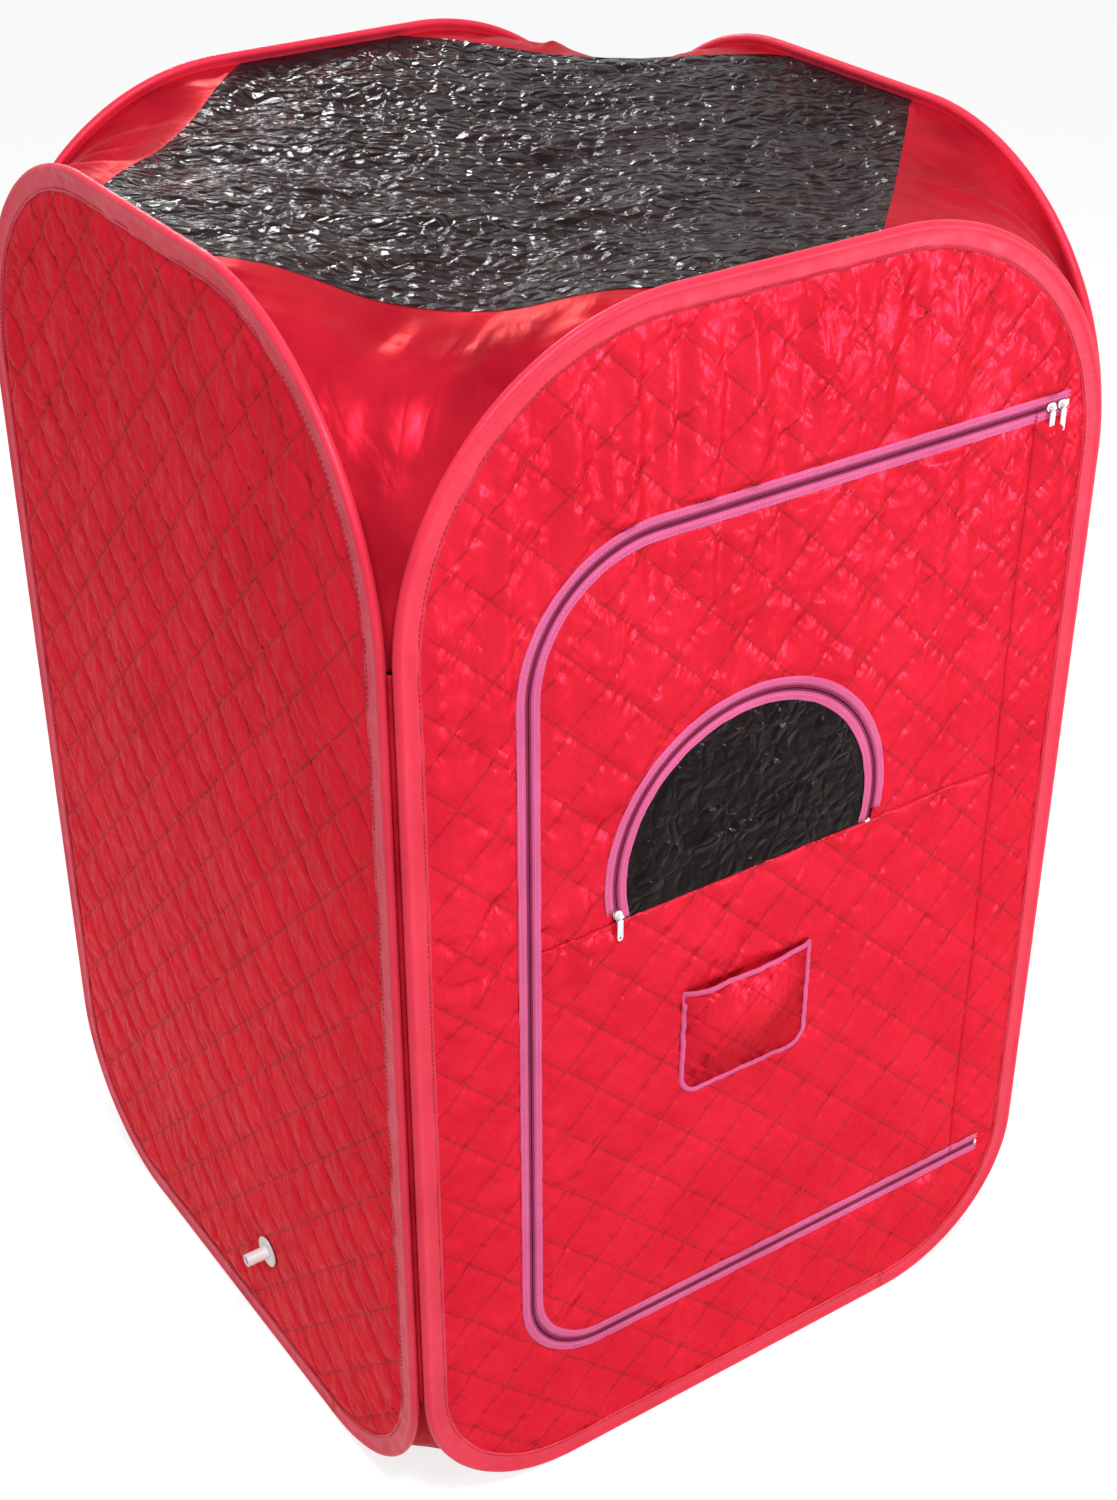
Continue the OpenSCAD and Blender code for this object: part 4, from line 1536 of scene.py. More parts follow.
@dataclass
class FrontWall(Wall):
    """The front wall, with the doorway cut out of its panel.

    Attributes:
        door: The door's sizes.
    """

    door: DoorSizes = DoorSizes()

    def doorway(self) -> Loop:
        """The border of the doorway in the front panel."""
        d, s = self.door, self.shop.m.setback
        outer = [(p[0], p[1]) for p in offset_path(np.array(d.zip_path(LINE_SPACING)), s)]
        inner = [(d.fold + d.slit, d.bottom + s), (d.fold + d.slit, d.top - s)]
        return resample(outer + [(d.end, d.bottom + s)] + inner + [(d.end, d.top - s)], LINE_SPACING, True)

    def panel_loops(self) -> list[Loop]:
        """The panel's border lines."""
        return [self.relief.wall.loop(self.shop.m.cloth_inset, LINE_SPACING), self.doorway()]

    def panel_inside(self, x: Array, z: Array) -> Array:
        """Says which positions are on the panel."""
        d, s = self.door, self.shop.m.setback
        line = d.outline.distance(x, z)
        door = (line > -s) & (x < d.end)
        kept = (line > s) & (x > d.fold + d.slit)
        return (self.relief.wall.distance(x, z) > self.shop.m.cloth_inset) & (~door | kept)

    def lattice(self, spacing: int, margin: float = 0.003) -> Array:
        """Points of the panel's face, clear of its borders."""
        points = super().lattice(spacing, margin)
        d, s = self.door, self.shop.m.setback
        x, z = points[:, 0], points[:, 1]
        line = d.outline.distance(x, z)
        door = (line > -s - margin) & (x < d.end + margin)
        kept = (line > s + margin) & (x > d.fold + margin)
        return points[~door | kept]

    def sewn(self, x: Array, z: Array) -> Array:
        """Says where the panel's quilting is sewn."""
        line = self.door.outline.distance(x, z)
        outside = (line < -0.016) | (x > self.door.end + 0.004)
        kept = (line > 0.016) & (x > self.door.fold + 0.001)
        return super().sewn(x, z) & (outside | kept)


def offset_path(path: Array, by: float) -> Array:
    """A line beside a path, to its left seen along it, which is outside for the door zip."""
    return path + path_normals(path) * by


def path_normals(path: Array) -> Array:
    """The unit directions square to a path in the wall's plane, on the outside of the door zip."""
    along = np.gradient(path, axis=0)
    along /= np.linalg.norm(along, axis=1)[:, None]
    return np.stack([along[:, 1], -along[:, 0]], 1)


# ---------------------------------------------------------------- zips, door, window and pocket


@dataclass
class ZipRun:
    """Tapes and coil halves along a line of the front wall.

    Attributes:
        shop: The workshop.
        near: Distance from the middle line to a tape.
        far: Distance from the middle line to a tape's far edge.
        coil: Distance from the middle line to the middle of a coil half.
    """

    shop: Workshop
    near: float = 0.00305
    far: float = 0.0140
    coil: float = 0.001825

    def tape(self, name: str, runs: Sequence[tuple[Array, int]], body: str, node: str) -> bpy.types.Object:
        """Flat tape beside the coil, in one piece or more.

        Args:
            name: The piece's name.
            runs: Middle lines, each with the side its tape is on, 1 outside and -1 inside.
            body: The CAD body.
            node: The CAD node it stands for.

        Returns:
            The object.
        """
        m, parts, length = self.shop.m, [], 0.0
        place = placer(Side.FRONT, m)
        for path, side in runs:
            normals = path_normals(path) * side
            zero = np.zeros(len(path))
            base = place(zero, zero, zero)
            line = place(path[:, 0], zero, path[:, 1])
            across = place(normals[:, 0], zero, normals[:, 1]) - base
            out = np.broadcast_to(np.array(FACING_FRONT), across.shape)
            low, high, mid = m.cloth_half + 0.0001, m.cloth_half + 0.0007, (self.near + self.far) / 2
            corners = [
                (self.near, low), (self.near, high), (mid, high + 0.0001), (self.far - 0.0006, high),
                (self.far, low + 0.0002), (self.far - 0.0006, low), (mid, low),
            ]
            profile = np.broadcast_to(np.array(corners), (len(path), len(corners), 2)).copy()
            along = np.arange(len(path)) * 0.005
            profile[:, 2:5, 1] += 0.0003 * (1 + noise(along / 0.012, along * 0, 71))[:, None]
            profile[:, 3:6, 0] += 0.0005 * noise(along / 0.016, along * 0, 72)[:, None]
            parts.append(sweep(line, across, out, profile, False))
            length += float(np.linalg.norm(np.diff(path, axis=0), axis=1).sum())
        made = face_out(make_object(name, *join_parts(parts)), MERGE)
        self.shop.settle(made, TAPE, body, "zip_tape", [node])
        return made

    def teeth(self, name: str, runs: Sequence[tuple[Array, int]], body: str, node: str) -> None:
        """One coil half, in one run or more.

        Args:
            name: The piece's name.
            runs: Middle lines, each with the side its coil is on.
            body: The CAD body.
            node: The CAD node it stands for.
        """
        place = placer(Side.FRONT, self.shop.m)
        lines = []
        for path, side in runs:
            line = offset_path(path, self.coil * side)
            lines.append(place(line[:, 0], np.full(len(line), -0.0027), line[:, 1]))
        made = self.shop.rows.make(name, ZIP_TOOTH, lines, FACING_FRONT)
        self.shop.settle(made, None, body, "zip_coil", [node])

    def tape_stitches(self, name: str, runs: Sequence[tuple[Array, int]], body: str) -> None:
        """The row of stitches that sews a tape down.

        Args:
            name: The piece's name.
            runs: Middle lines, each with the side its tape is on.
            body: The CAD body.
        """
        place = placer(Side.FRONT, self.shop.m)
        lines = []
        for path, side in runs:
            for off in (0.0070, self.far - 0.0022):
                line = offset_path(path, off * side)
                lines.append(place(line[:, 0], np.full(len(line), -0.0034), line[:, 1]))
        made = self.shop.rows.make(name, TAPE_STITCH, lines, FACING_FRONT)
        self.shop.settle(made, None, body, "zip_tape")


@dataclass
class Door:
    """The zipped door: two quilted panels, lining, its half of the zip, and the window's surround.

    Attributes:
        wall: The front wall it opens in.
        zips: The zip maker.
    """

    wall: FrontWall
    zips: ZipRun

    def build(self) -> None:
        """Builds the door, the zip's halves on the door and on the wall, and the window."""
        self.panels()
        self.lining()
        self.main_zip()
        self.window_surround()
        self.window_flap()

    @property
    def sizes(self) -> DoorSizes:
        """The door's sizes."""
        return self.wall.door

    def window_bite(self, spacing: float) -> Loop:
        """The edge of the cloth round the window, from left to right, on the seam at both ends."""
        d = self.sizes
        r = d.window_radius + self.wall.shop.m.setback
        low = math.asin(-d.rise / r)
        n = round((math.pi - 2 * low) * r / spacing)
        return d.window_arc(r, low, n)

    def zip_edge(self) -> Loop:
        """The edge of the door's cloth beside the zip, short of the fold."""
        d, s = self.sizes, self.wall.shop.m.setback
        line = offset_path(np.array(d.zip_path(LINE_SPACING)), -s)
        return [tuple(p) for p in line if p[0] < d.fold - d.slit - 0.003]

    def upper_loop(self) -> Loop:
        """The border of the panel over the seam."""
        d, s = self.sizes, self.wall.shop.m.setback
        edge = [p for p in self.zip_edge() if p[1] > d.seam + 0.002]
        left = edge[-1][0]
        bite = self.window_bite(0.006)
        bite[0], bite[-1] = (bite[0][0], d.seam), (bite[-1][0], d.seam)
        return resample(
            [(d.fold - d.slit, d.seam), (d.fold - d.slit, d.top - s)] + edge + [(left, d.seam)] + bite,
            LINE_SPACING, True,
        )

    def lower_loop(self) -> Loop:
        """The border of the panel under the seam."""
        d, s = self.sizes, self.wall.shop.m.setback
        edge = [p for p in self.zip_edge() if p[1] < d.seam - 0.002]
        left = edge[0][0]
        return resample(
            [(d.fold - d.slit, d.seam), (left, d.seam)] + edge + [(d.fold - d.slit, d.bottom + s)],
            LINE_SPACING, True,
        )

    def cloth(self, x: Array, z: Array) -> Array:
        """Says which positions are on the door's cloth."""
        d, s = self.sizes, self.wall.shop.m.setback
        window = (np.hypot(x - d.window_x, z - d.window_z) < d.window_radius + s) & (z > d.seam)
        return (d.outline.distance(x, z) > s) & (x < d.fold - d.slit) & ~window

    def points(self, per: int, margin: float = 0.003) -> Array:
        """Points of the door's face on 45 degree lines, clear of its borders.

        Args:
            per: Points from one quilting line to the next.
            margin: Least distance from a border.

        Returns:
            The points.
        """
        d, m = self.sizes, self.wall.shop.m
        p = diagonal_lattice((d.left, d.bottom), (d.fold, d.top), m.quilt_pitch, per)
        x, z = p[:, 0], p[:, 1]
        s = m.setback + margin
        window = (np.hypot(x - d.window_x, z - d.window_z) < d.window_radius + s) & (z > d.seam - margin)
        keep = (d.outline.distance(x, z) > s) & (x < d.fold - margin) & ~window & (
            np.abs(z - d.seam) > margin * 0.7
        )
        return p[keep]

    def panels(self) -> None:
        """The two quilted panels and their stitching."""
        d, wall, shop = self.sizes, self.wall, self.wall.shop
        lattice = self.points(11)
        for name, node, loop, over in (
            ("door_quilted_upper_panel", "door_upper_panel", self.upper_loop(), True),
            ("door_quilted_lower_panel", "door_lower_panel", self.lower_loop(), False),
        ):
            def inside(x: Array, z: Array, over: bool = over) -> Array:
                """Says which positions are on this panel."""
                return self.cloth(x, z) & ((z > d.seam) if over else (z < d.seam))

            part = lattice[(lattice[:, 1] > d.seam) == over]
            made = closed_panel(
                name, [loop], inside, part, wall.relief.lift, wall.place, shop.m.cloth_half, 0.0018
            )
            shop.settle(made, QUILT, "door", "quilted_satin", [node])

        def sewn(x: Array, z: Array) -> Array:
            """Says where the door's quilting is sewn."""
            gap, _ = wall.relief.zip_gap(x, z)
            pocket = d.pocket.distance(x, z) < -0.001
            return self.cloth(x, z) & (gap > 0.0015) & pocket & (np.abs(z - d.seam) > 0.002) & (
                x < d.fold - 0.001
            )

        wall.stitch_piece("door_quilting_stitches", sewn, "door")
        x = np.concatenate([np.arange(d.left + 0.017, d.fold, 0.005)])
        z = np.full(len(x), d.seam)
        under = wall.place(x, -shop.m.cloth_half - wall.relief.lift(x, z - 0.004) - 0.0002, z - 0.004)
        made = shop.rows.make("door_seam_stitches", SEAM_STITCH, [under], wall.facing)
        shop.settle(made, None, "door", "quilted_satin")

    def lining(self) -> None:
        """The door's lining."""
        d, wall = self.sizes, self.wall
        s = wall.shop.m.setback
        side = [(d.fold - d.slit, d.bottom + s), (d.fold - d.slit, d.top - s)]
        outer = resample(side + self.zip_edge(), LINE_SPACING, True)
        bite = self.window_bite(0.006)
        bite[0], bite[-1] = (bite[0][0], d.seam), (bite[-1][0], d.seam)
        made, area = wall.lining_surface(
            "door_inner_lining", [outer, resample(bite, LINE_SPACING, True)], self.cloth,
            self.points(6, 0.005),
        )
        wall.shop.settle(made, LINING, "door", "lining_film", ["door_lining"])

    def main_zip(self) -> None:
        """The door zip's tapes, coil halves and stitching."""
        d, z = self.sizes, self.zips
        full = np.array(d.zip_path(ZIP_SPACING))
        stop = full[full[:, 0] < d.end - 0.0032]
        door = full[full[:, 0] < d.fold - d.slit - 0.0005]
        door = np.concatenate([[[d.fold - d.slit, d.top]], door, [[d.fold - d.slit, d.bottom]]])
        xs = np.linspace(d.end, d.fold + d.slit, 10)
        high = np.stack([xs, np.full(10, d.top)], 1)
        low = np.stack([xs[::-1], np.full(10, d.bottom)], 1)
        frame_runs = [(full, 1), (high, -1), (low, -1)]
        z.tape("door_zip_wall_tape", frame_runs, "front_wall", "door_zip_frame_tape")
        z.tape("door_zip_inner_tape", [(door, -1)], "door", "door_zip_door_tape")
        z.teeth(
            "door_zip_wall_coil", [(stop, 1), (high[1:], -1), (low[:-1], -1)], "front_wall",
            "door_zip_frame_coil",
        )
        z.teeth("door_zip_inner_coil", [(door, -1)], "door", "door_zip_door_coil")
        z.tape_stitches("door_zip_wall_stitches", frame_runs, "front_wall")
        z.tape_stitches("door_zip_inner_stitches", [(door, -1)], "door")

    def window_surround(self) -> None:
        """The half of the window's zip that stays on the door."""
        d, z = self.sizes, self.zips
        arch = np.array(d.arch(0.0012, ZIP_SPACING))
        coil = np.array(d.arch(0.003, ZIP_SPACING))
        z.tape("window_zip_outer_tape", [(arch[::-1], -1)], "door", "window_zip_door_tape")
        z.teeth("window_zip_outer_coil", [(coil[::-1], -1)], "door", "window_zip_door_coil")
        z.tape_stitches("window_zip_outer_stitches", [(arch[::-1], -1)], "door")

    def window_flap(self) -> None:
        """The film flap with its half of the zip, which hinges on the seam."""
        d, z, shop = self.sizes, self.zips, self.wall.shop
        arch = np.array(d.arch(0.017, ZIP_SPACING))
        z.tape("window_zip_flap_side_tape", [(arch[::-1], 1)], "window_flap", "window_zip_flap_tape")
        z.teeth("window_zip_flap_side_coil", [(arch[::-1], 1)], "window_flap", "window_zip_flap_coil")
        z.tape_stitches("window_zip_flap_stitches", [(arch[::-1], 1)], "window_flap")
        r, base = d.window_radius - 0.0055, d.seam + 0.0006
        low = math.asin((base - d.window_z) / r)
        n = 110
        angles = [low + (math.pi - 2 * low) * i / n for i in range(n + 1)]
        rim = resample(arc_points(d.window_x, d.window_z, r, angles), 0.005, True)
        step = 0.0042
        gx, gz = np.meshgrid(
            np.arange(d.window_x - r, d.window_x + r, step), np.arange(base, d.window_z + r, step)
        )
        gx = gx + 0.3 * step * noise(gx / step * 0.71, gz / step * 0.63, 81)
        p = np.stack([gx.ravel(), gz.ravel()], 1)
        p = p[(np.hypot(p[:, 0] - d.window_x, p[:, 1] - d.window_z) < r - 0.003) & (p[:, 1] > base + 0.003)]

        def inside(x: Array, z: Array) -> Array:
            """Says which positions are on the film."""
            return (np.hypot(x - d.window_x, z - d.window_z) < r) & (z > base)

        flat, tris, _ = triangulate([rim], p, inside)
        x, y = flat[:, 0], flat[:, 1]
        ring = np.hypot(x - d.window_x, y - d.window_z)
        tape = smooth((d.window_radius - 0.015 - ring) / 0.02) * smooth((y - base) / 0.03)
        lift = tape * (
            0.0042 * ridges(x / 0.085 + 0.5 * noise(x / 0.06, y / 0.06, 83), y / 0.05, 82) - 0.0016
            + 0.0020 * clouds(x / 0.05, y / 0.11, 84)
        )
        points = self.wall.place(x, -0.0022 - np.maximum(lift, -0.0012), y)
        made = make_object("window_film_flap", points, [list(t) for t in tris], flat)
        shop.settle(made, WINDOW, "window_flap", "window_film", ["window_film"])


@dataclass
class Pocket:
    """The patch pocket on the door and its edge binding.

    Attributes:
        wall: The front wall.
        gape: How far the pocket's middle stands off the door.
    """

    wall: FrontWall
    gape: float = 0.0088

    def height(self, x: Array, z: Array) -> Array:
        """How far the pocket's face stands off the door's flat cloth.

        Args:
            x: Positions across.
            z: Heights.

        Returns:
            Heights.
        """
        d = self.wall.door
        o = d.pocket
        open_top = Outline(o.left, o.right, o.low, o.high + 0.4, o.low_radius, 0.001)
        edge = np.maximum(open_top.distance(x, z), 0)
        swell = 1 - (1 - np.minimum(edge / 0.045, 1)) ** 2
        rise = smooth((z - o.low) / 0.11)
        diamond = diamonds(x, z, self.wall.shop.m.quilt_pitch, 0.6)
        fx, fz = open_top.foot(x, z)
        pucker = noise((fx + fz) / 0.010, (fz - fx) / 0.010, 91) * np.exp(-edge / 0.014)
        creases = 0.0022 * clouds(x / 0.030 + 2 * z, z / 0.020, 92)
        mouth = self.gape * swell * (0.45 + 0.55 * rise)
        quilted = 0.0026 * diamond * smooth(edge / 0.02)
        return 0.0006 + mouth + quilted + smooth(edge / 0.012) * creases + 0.0012 * pucker

    def build(self) -> None:
        """Builds the pocket."""
        d, shop = self.wall.door, self.wall.shop
        o = d.pocket
        loop = o.loop(0.0, 0.004)
        p = diagonal_lattice((o.left, o.low), (o.right, o.high), shop.m.quilt_pitch, 15)
        p = p[o.distance(p[:, 0], p[:, 1]) > 0.0022]

        def inside(x: Array, z: Array) -> Array:
            """Says which positions are on the pocket."""
            return o.distance(x, z) > 0

        flat, tris, _ = triangulate([loop], p, inside)
        x, z = flat[:, 0], flat[:, 1]
        points = self.wall.place(x, -shop.m.cloth_half - self.height(x, z), z)
        made = make_object("pocket_quilted_pouch", points, [list(t) for t in tris], flat)
        solid = made.modifiers.new("thickness", "SOLIDIFY")
        solid.thickness, solid.offset = 0.0012, 1.0
        shop.settle(made, QUILT, "door", "quilted_satin", ["pocket_pouch"])
        self.binding(o)

    def binding(self, o: Outline) -> None:
        """The narrow pink binding round the pocket's edge.

        Args:
            o: The pocket's outline.
        """
        shop = self.wall.shop
        line = np.array(even(o.loop(0.0015, 0.003), POCKET_SPACING, True))
        x, z = line[:, 0], line[:, 1]
        step = TINY_STEP
        gx = o.distance(x + step, z) - o.distance(x - step, z)
        gz = o.distance(x, z + step) - o.distance(x, z - step)
        size = np.maximum(np.hypot(gx, gz), 1e-9)
        gx, gz = gx / size, gz / size
        zero = np.zeros(len(x))
        base = self.wall.place(zero, zero, zero)
        top = self.height(x, z) + 0.0012
        centre = self.wall.place(x, -shop.m.cloth_half - top + 0.0004, z)
        across = self.wall.place(gx, zero, gz) - base
        out = np.broadcast_to(np.array(FACING_FRONT), across.shape)
        corners = [
            (-0.0020, -0.0004), (-0.0018, 0.0010), (0.0005, 0.0017), (0.0036, 0.0017), (0.0046, 0.0008),
            (0.0040, -0.0006), (0.0010, -0.0016),
        ]
        profile = np.broadcast_to(np.array(corners), (len(x), len(corners), 2)).copy()
        along = np.arange(len(x)) * POCKET_SPACING
        profile[:, 1:5, 1] += 0.0005 * noise(along / 0.009, along * 0, 95)[:, None]
        made = face_out(make_object("pocket_edge_binding", *sweep(centre, across, out, profile, True)), MERGE)
        shop.settle(made, TAPE, "door", "zip_tape", ["pocket_binding"])


# ---------------------------------------------------------------- roof, floor and corners


@dataclass
class CabinSheet:
    """An eight-sided sheet across the cabin, in four parts, one to each wall.

    Each part hangs on its own wall's body and moves with it.

    Attributes:
        shop: The workshop.
        name: The pieces' name.
        node: The CAD node they stand for.
        slot: The record's material slot.
        finish: The finish.
        face: Distance from a wall's mid-plane to the sheet.
        cut: Distance the corners are cut by.
        step: Distance between points.
        height: The sheet's height at positions in the cabin.
    """

    shop: Workshop
    name: str
    node: str
    slot: str
    finish: Finish
    face: float
    cut: float
    step: float
    height: Field

    def build(self) -> None:
        """Builds the four parts."""
        m = self.shop.m
        for side in Side:
            place = placer(side, m)
            hy, c = self.face, m.half_width + self.face - self.cut
            depth = m.half_depth
            mid = (c + depth - hy) / 2
            ring: Loop = [(-c, hy), (c, hy), (mid, depth - mid), (0.0, depth), (-mid, depth - mid)]
            loop = resample(ring, self.step, True)
            gx, gy = np.meshgrid(np.arange(-depth, depth, self.step), np.arange(0, depth, self.step))
            gx = gx + self.step * 0.3 * noise(gx / self.step * 0.7, gy / self.step * 0.6, 7)
            p = np.stack([gx.ravel(), gy.ravel()], 1)

            def inside(x: Array, t: Array) -> Array:
                """Says which positions are on this part."""
                return (t > hy) & (np.abs(x) < depth - t) & (np.abs(x) < c + t - hy)

            past, half_step = p[:, 0] + np.sign(p[:, 0]) * self.step * 0.7, self.step * 0.5
            keep = inside(past, p[:, 1] - half_step) & inside(past, p[:, 1] + half_step)
            flat, tris, _ = triangulate([loop], p[keep], inside)
            ground = place(flat[:, 0], flat[:, 1], flat[:, 0] * 0)
            x, y = ground[:, 0], ground[:, 1]
            z = self.height(x, y)
            points = np.stack([x, y, z], 1)
            made = make_object(
                f"{self.name}_{side.value}_part", points, [list(t) for t in tris], points[:, :2]
            )
            h = 0.0012
            nx = (self.height(x + h, y) - self.height(x - h, y)) / (2 * h)
            ny = (self.height(x, y + h) - self.height(x, y - h)) / (2 * h)
            normals = np.stack([-nx, -ny, np.ones(len(x))], 1)
            normals /= np.linalg.norm(normals, axis=1)[:, None]
            made.data.normals_split_custom_set_from_vertices([tuple(n) for n in normals])
            first = side is Side.FRONT
            self.shop.settle(made, self.finish, side.body, self.slot, [self.node] if first else [])
            zero = np.zeros(1)
            normal = place(zero, np.ones(1), zero)[0] - place(zero, zero, zero)[0]
            anchor = place(zero, np.full(1, hy), zero)[0]
            tuple(anchor)
            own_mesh(made)


@dataclass
class Gussets:
    """The curved cloths that fill the notches between the hoops' rounded corners, each in two halves.

    Attributes:
        shop: The workshop.
        roof: Whether these are the four at the roof, or the four at the floor.
        sag: How far they belly into the cabin.
        face: Distance from a wall's mid-plane to the cloth.
    """

    shop: Workshop
    roof: bool
    sag: float
    face: float = 0.0034

    def curve(self) -> tuple[Array, Array, Array]:
        """The section along the corner's diagonal.

        Returns:
            For each point, the sum of its distances from the two walls, its height, and its angle.
        """
        m = self.shop.m
        radius = m.top_radius if self.roof else m.bottom_radius
        reach = m.half_width - m.wall_half
        angle = np.radians(np.linspace(0, 90, 64 if self.roof else 40))
        arm = radius - m.gusset_inset
        q = reach + radius - arm * np.cos(angle)
        z = m.height - radius + arm * np.sin(angle) if self.roof else radius - arm * np.sin(angle)
        last = m.roof_ledge if self.roof else m.floor_ramp
        share = np.linspace(0, 1, 9 if self.roof else 8)[1:]
        end_z = z[-1] if self.roof else 0.0011
        q = np.concatenate([q, q[-1] + last * share])
        z = np.concatenate([z, z[-1] + (end_z - z[-1]) * share])
        angle = np.concatenate([angle, np.full(len(share), math.pi / 2)])
        return q, z, angle

    def build(self) -> None:
        """Builds the eight halves."""
        m = self.shop.m
        q, z, angle = self.curve()
        half = 30 if self.roof else 22
        for number, corner in enumerate(Corner):
            name, fore, side, sx, sy = corner.value
            share = np.linspace(0, 1, 2 * half + 1)
            b, qq = np.meshgrid(share, q)
            aa, zz = np.meshgrid(share, angle)[1], np.meshgrid(share, z)[1]
            x = self.face + b * (qq - 2 * self.face)
            y = qq - x
            size = qq / q.max()
            belly = np.sin(math.pi * b) ** 0.8 * size * smooth((q.max() - qq) / 0.10)
            seed = 200 + 10 * number + (5 if self.roof else 0)
            wide = (b - 0.5) * qq
            bent = 0.7 * noise(wide / 0.2, zz / 0.2, seed + 3)
            creases = 1.1 * clouds(wide / 0.075 + bent, zz / 0.26, seed)
            fine = 0.55 * ridges(wide / 0.050, zz / 0.16 + wide / 0.3, seed + 1)
            fine = fine + 0.20 * noise(wide / 0.018, zz / 0.05, seed + 2)
            hems = np.exp(-b / 0.10) + np.exp(-(1 - b) / 0.10)
            pucker = 0.16 * noise(zz / 0.016 + qq / 0.016, b * 3, seed + 4) * hems
            ends = smooth(np.minimum(b, 1 - b) / 0.06)
            inward = self.sag * belly * (0.5 + creases + fine) + self.sag * pucker * ends * size
            nx = -np.cos(aa) / ROOT_TWO
            nz = np.sin(aa) if self.roof else -np.sin(aa)
            x, y, zc = x - inward * nx, y - inward * nx, zz - inward * nz
            if not self.roof:
                zc = np.maximum(zc, 0.0010)
            points = np.stack([sx * (m.half_width - x), sy * (m.half_depth - y), zc], -1)
            if self.roof:
                points[..., 2] -= corner_droop(m, points[..., 0], points[..., 1])
            for wall, low, high in ((side, 0, half), (fore, half, 2 * half)):
                self.part(
                    f"{'roof' if self.roof else 'floor'}_gusset_{name}_{wall.value}_half",
                    points[:, low:high + 1], qq[:, low:high + 1], zz[:, low:high + 1], wall, name,
                    wall is fore,
                )

    def part(self, name: str, points: Array, q: Array, z: Array, wall: Side, corner: str, main: bool) -> None:
        """One half of a gusset.

        Args:
            name: The piece's name.
            points: Its grid of points.
            q: The section's distances, for its cloth positions.
            z: The section's heights.
            wall: The wall it is sewn to.
            corner: Its corner's name.
            main: Whether this half stands for the CAD node.
        """
        m = self.shop.m
        rows, cols = points.shape[:2]
        flat = points.reshape(-1, 3)
        index = np.arange(rows * cols).reshape(rows, cols)
        faces = [
            [index[i, j], index[i, j + 1], index[i + 1, j + 1], index[i + 1, j]]
            for i in range(rows - 1)
            for j in range(cols - 1)
        ]
        up = np.cross(points[-1, 1] - points[-1, 0], points[-1, 0] - points[-2, 0])
        if (up[2] < 0):
            faces = [f[::-1] for f in faces]
        run = np.concatenate([[0], np.cumsum(np.hypot(np.diff(q[:, 0]) / ROOT_TWO, np.diff(z[:, 0])))])
        uv = np.stack(
            [
                np.broadcast_to(np.linspace(0, 1, cols)[None], (rows, cols)) * q / ROOT_TWO,
                np.broadcast_to(run[:, None], (rows, cols)),
            ],
            -1,
        ).reshape(-1, 2)
        made = make_object(name, flat, faces, uv)
        kind = "roof" if self.roof else "floor"
        self.shop.settle(made, SHADE_DARKENED_SATIN, wall.body, "gusset_satin", [f"{kind}_gusset_{corner}"] if main else [])
        place = placer(wall, m)
        zero = np.zeros(1)
        normal = place(zero, np.ones(1), zero)[0] - place(zero, zero, zero)[0]
        tuple(place(zero, np.full(1, self.face), zero)[0])
        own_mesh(made)


@dataclass
class CornerSeams:
    """The stitched strips that join neighbouring walls' bindings.

    Attributes:
        shop: The workshop.
        offset: Distance of a strip's middle from both mid-planes.
        half: Half its width.
        thick: Half its thickness.
    """

    shop: Workshop
    offset: float = 0.0060
    half: float = 0.0027
    thick: float = 0.0011

    def build(self) -> None:
        """Builds the four strips."""
        m = self.shop.m
        for number, corner in enumerate(Corner):
            name, fore, side, sx, sy = corner.value
            low, high = m.bottom_radius, m.height - m.top_radius
            n = 190
            z = np.linspace(low, high, n)
            cx, cy = sx * (m.half_width - self.offset), sy * (m.half_depth - self.offset)
            path = np.stack([np.full(n, cx), np.full(n, cy), z], 1)
            across = np.broadcast_to(np.array([sx, -sy, 0.0]) / ROOT_TWO, path.shape)
            out = np.broadcast_to(np.array([sx, sy, 0.0]) / ROOT_TWO, path.shape)
            corners = [
                (-self.half, -self.thick), (self.half, -self.thick), (self.half, self.thick),
                (0.0, self.thick * 1.2), (-self.half, self.thick),
            ]
            profile = np.broadcast_to(np.array(corners), (n, 5, 2)).copy()
            profile[:, 2:, 1] += 0.0006 * noise(z / 0.010, z * 0 + number, 97)[:, None]
            made = face_out(
                make_object(f"corner_seam_strip_{name}", *sweep(path, across, out, profile, False)), MERGE
            )
            self.shop.wardrobe.dress(made, SHADE_DARKENED_SATIN)
            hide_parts(f"corner_seam_{name}")
            if corner is Corner.BACK_RIGHT:
                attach(made, fore.body)
            elif corner is Corner.BACK_LEFT:
                side.body
                fore.body
                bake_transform(made)
            else:
                fore.body
                side.body
                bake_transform(made)
            log.info("%s: joins %s and %s", made.name, fore.value, side.value)


# ---------------------------------------------------------------- hard parts and studio


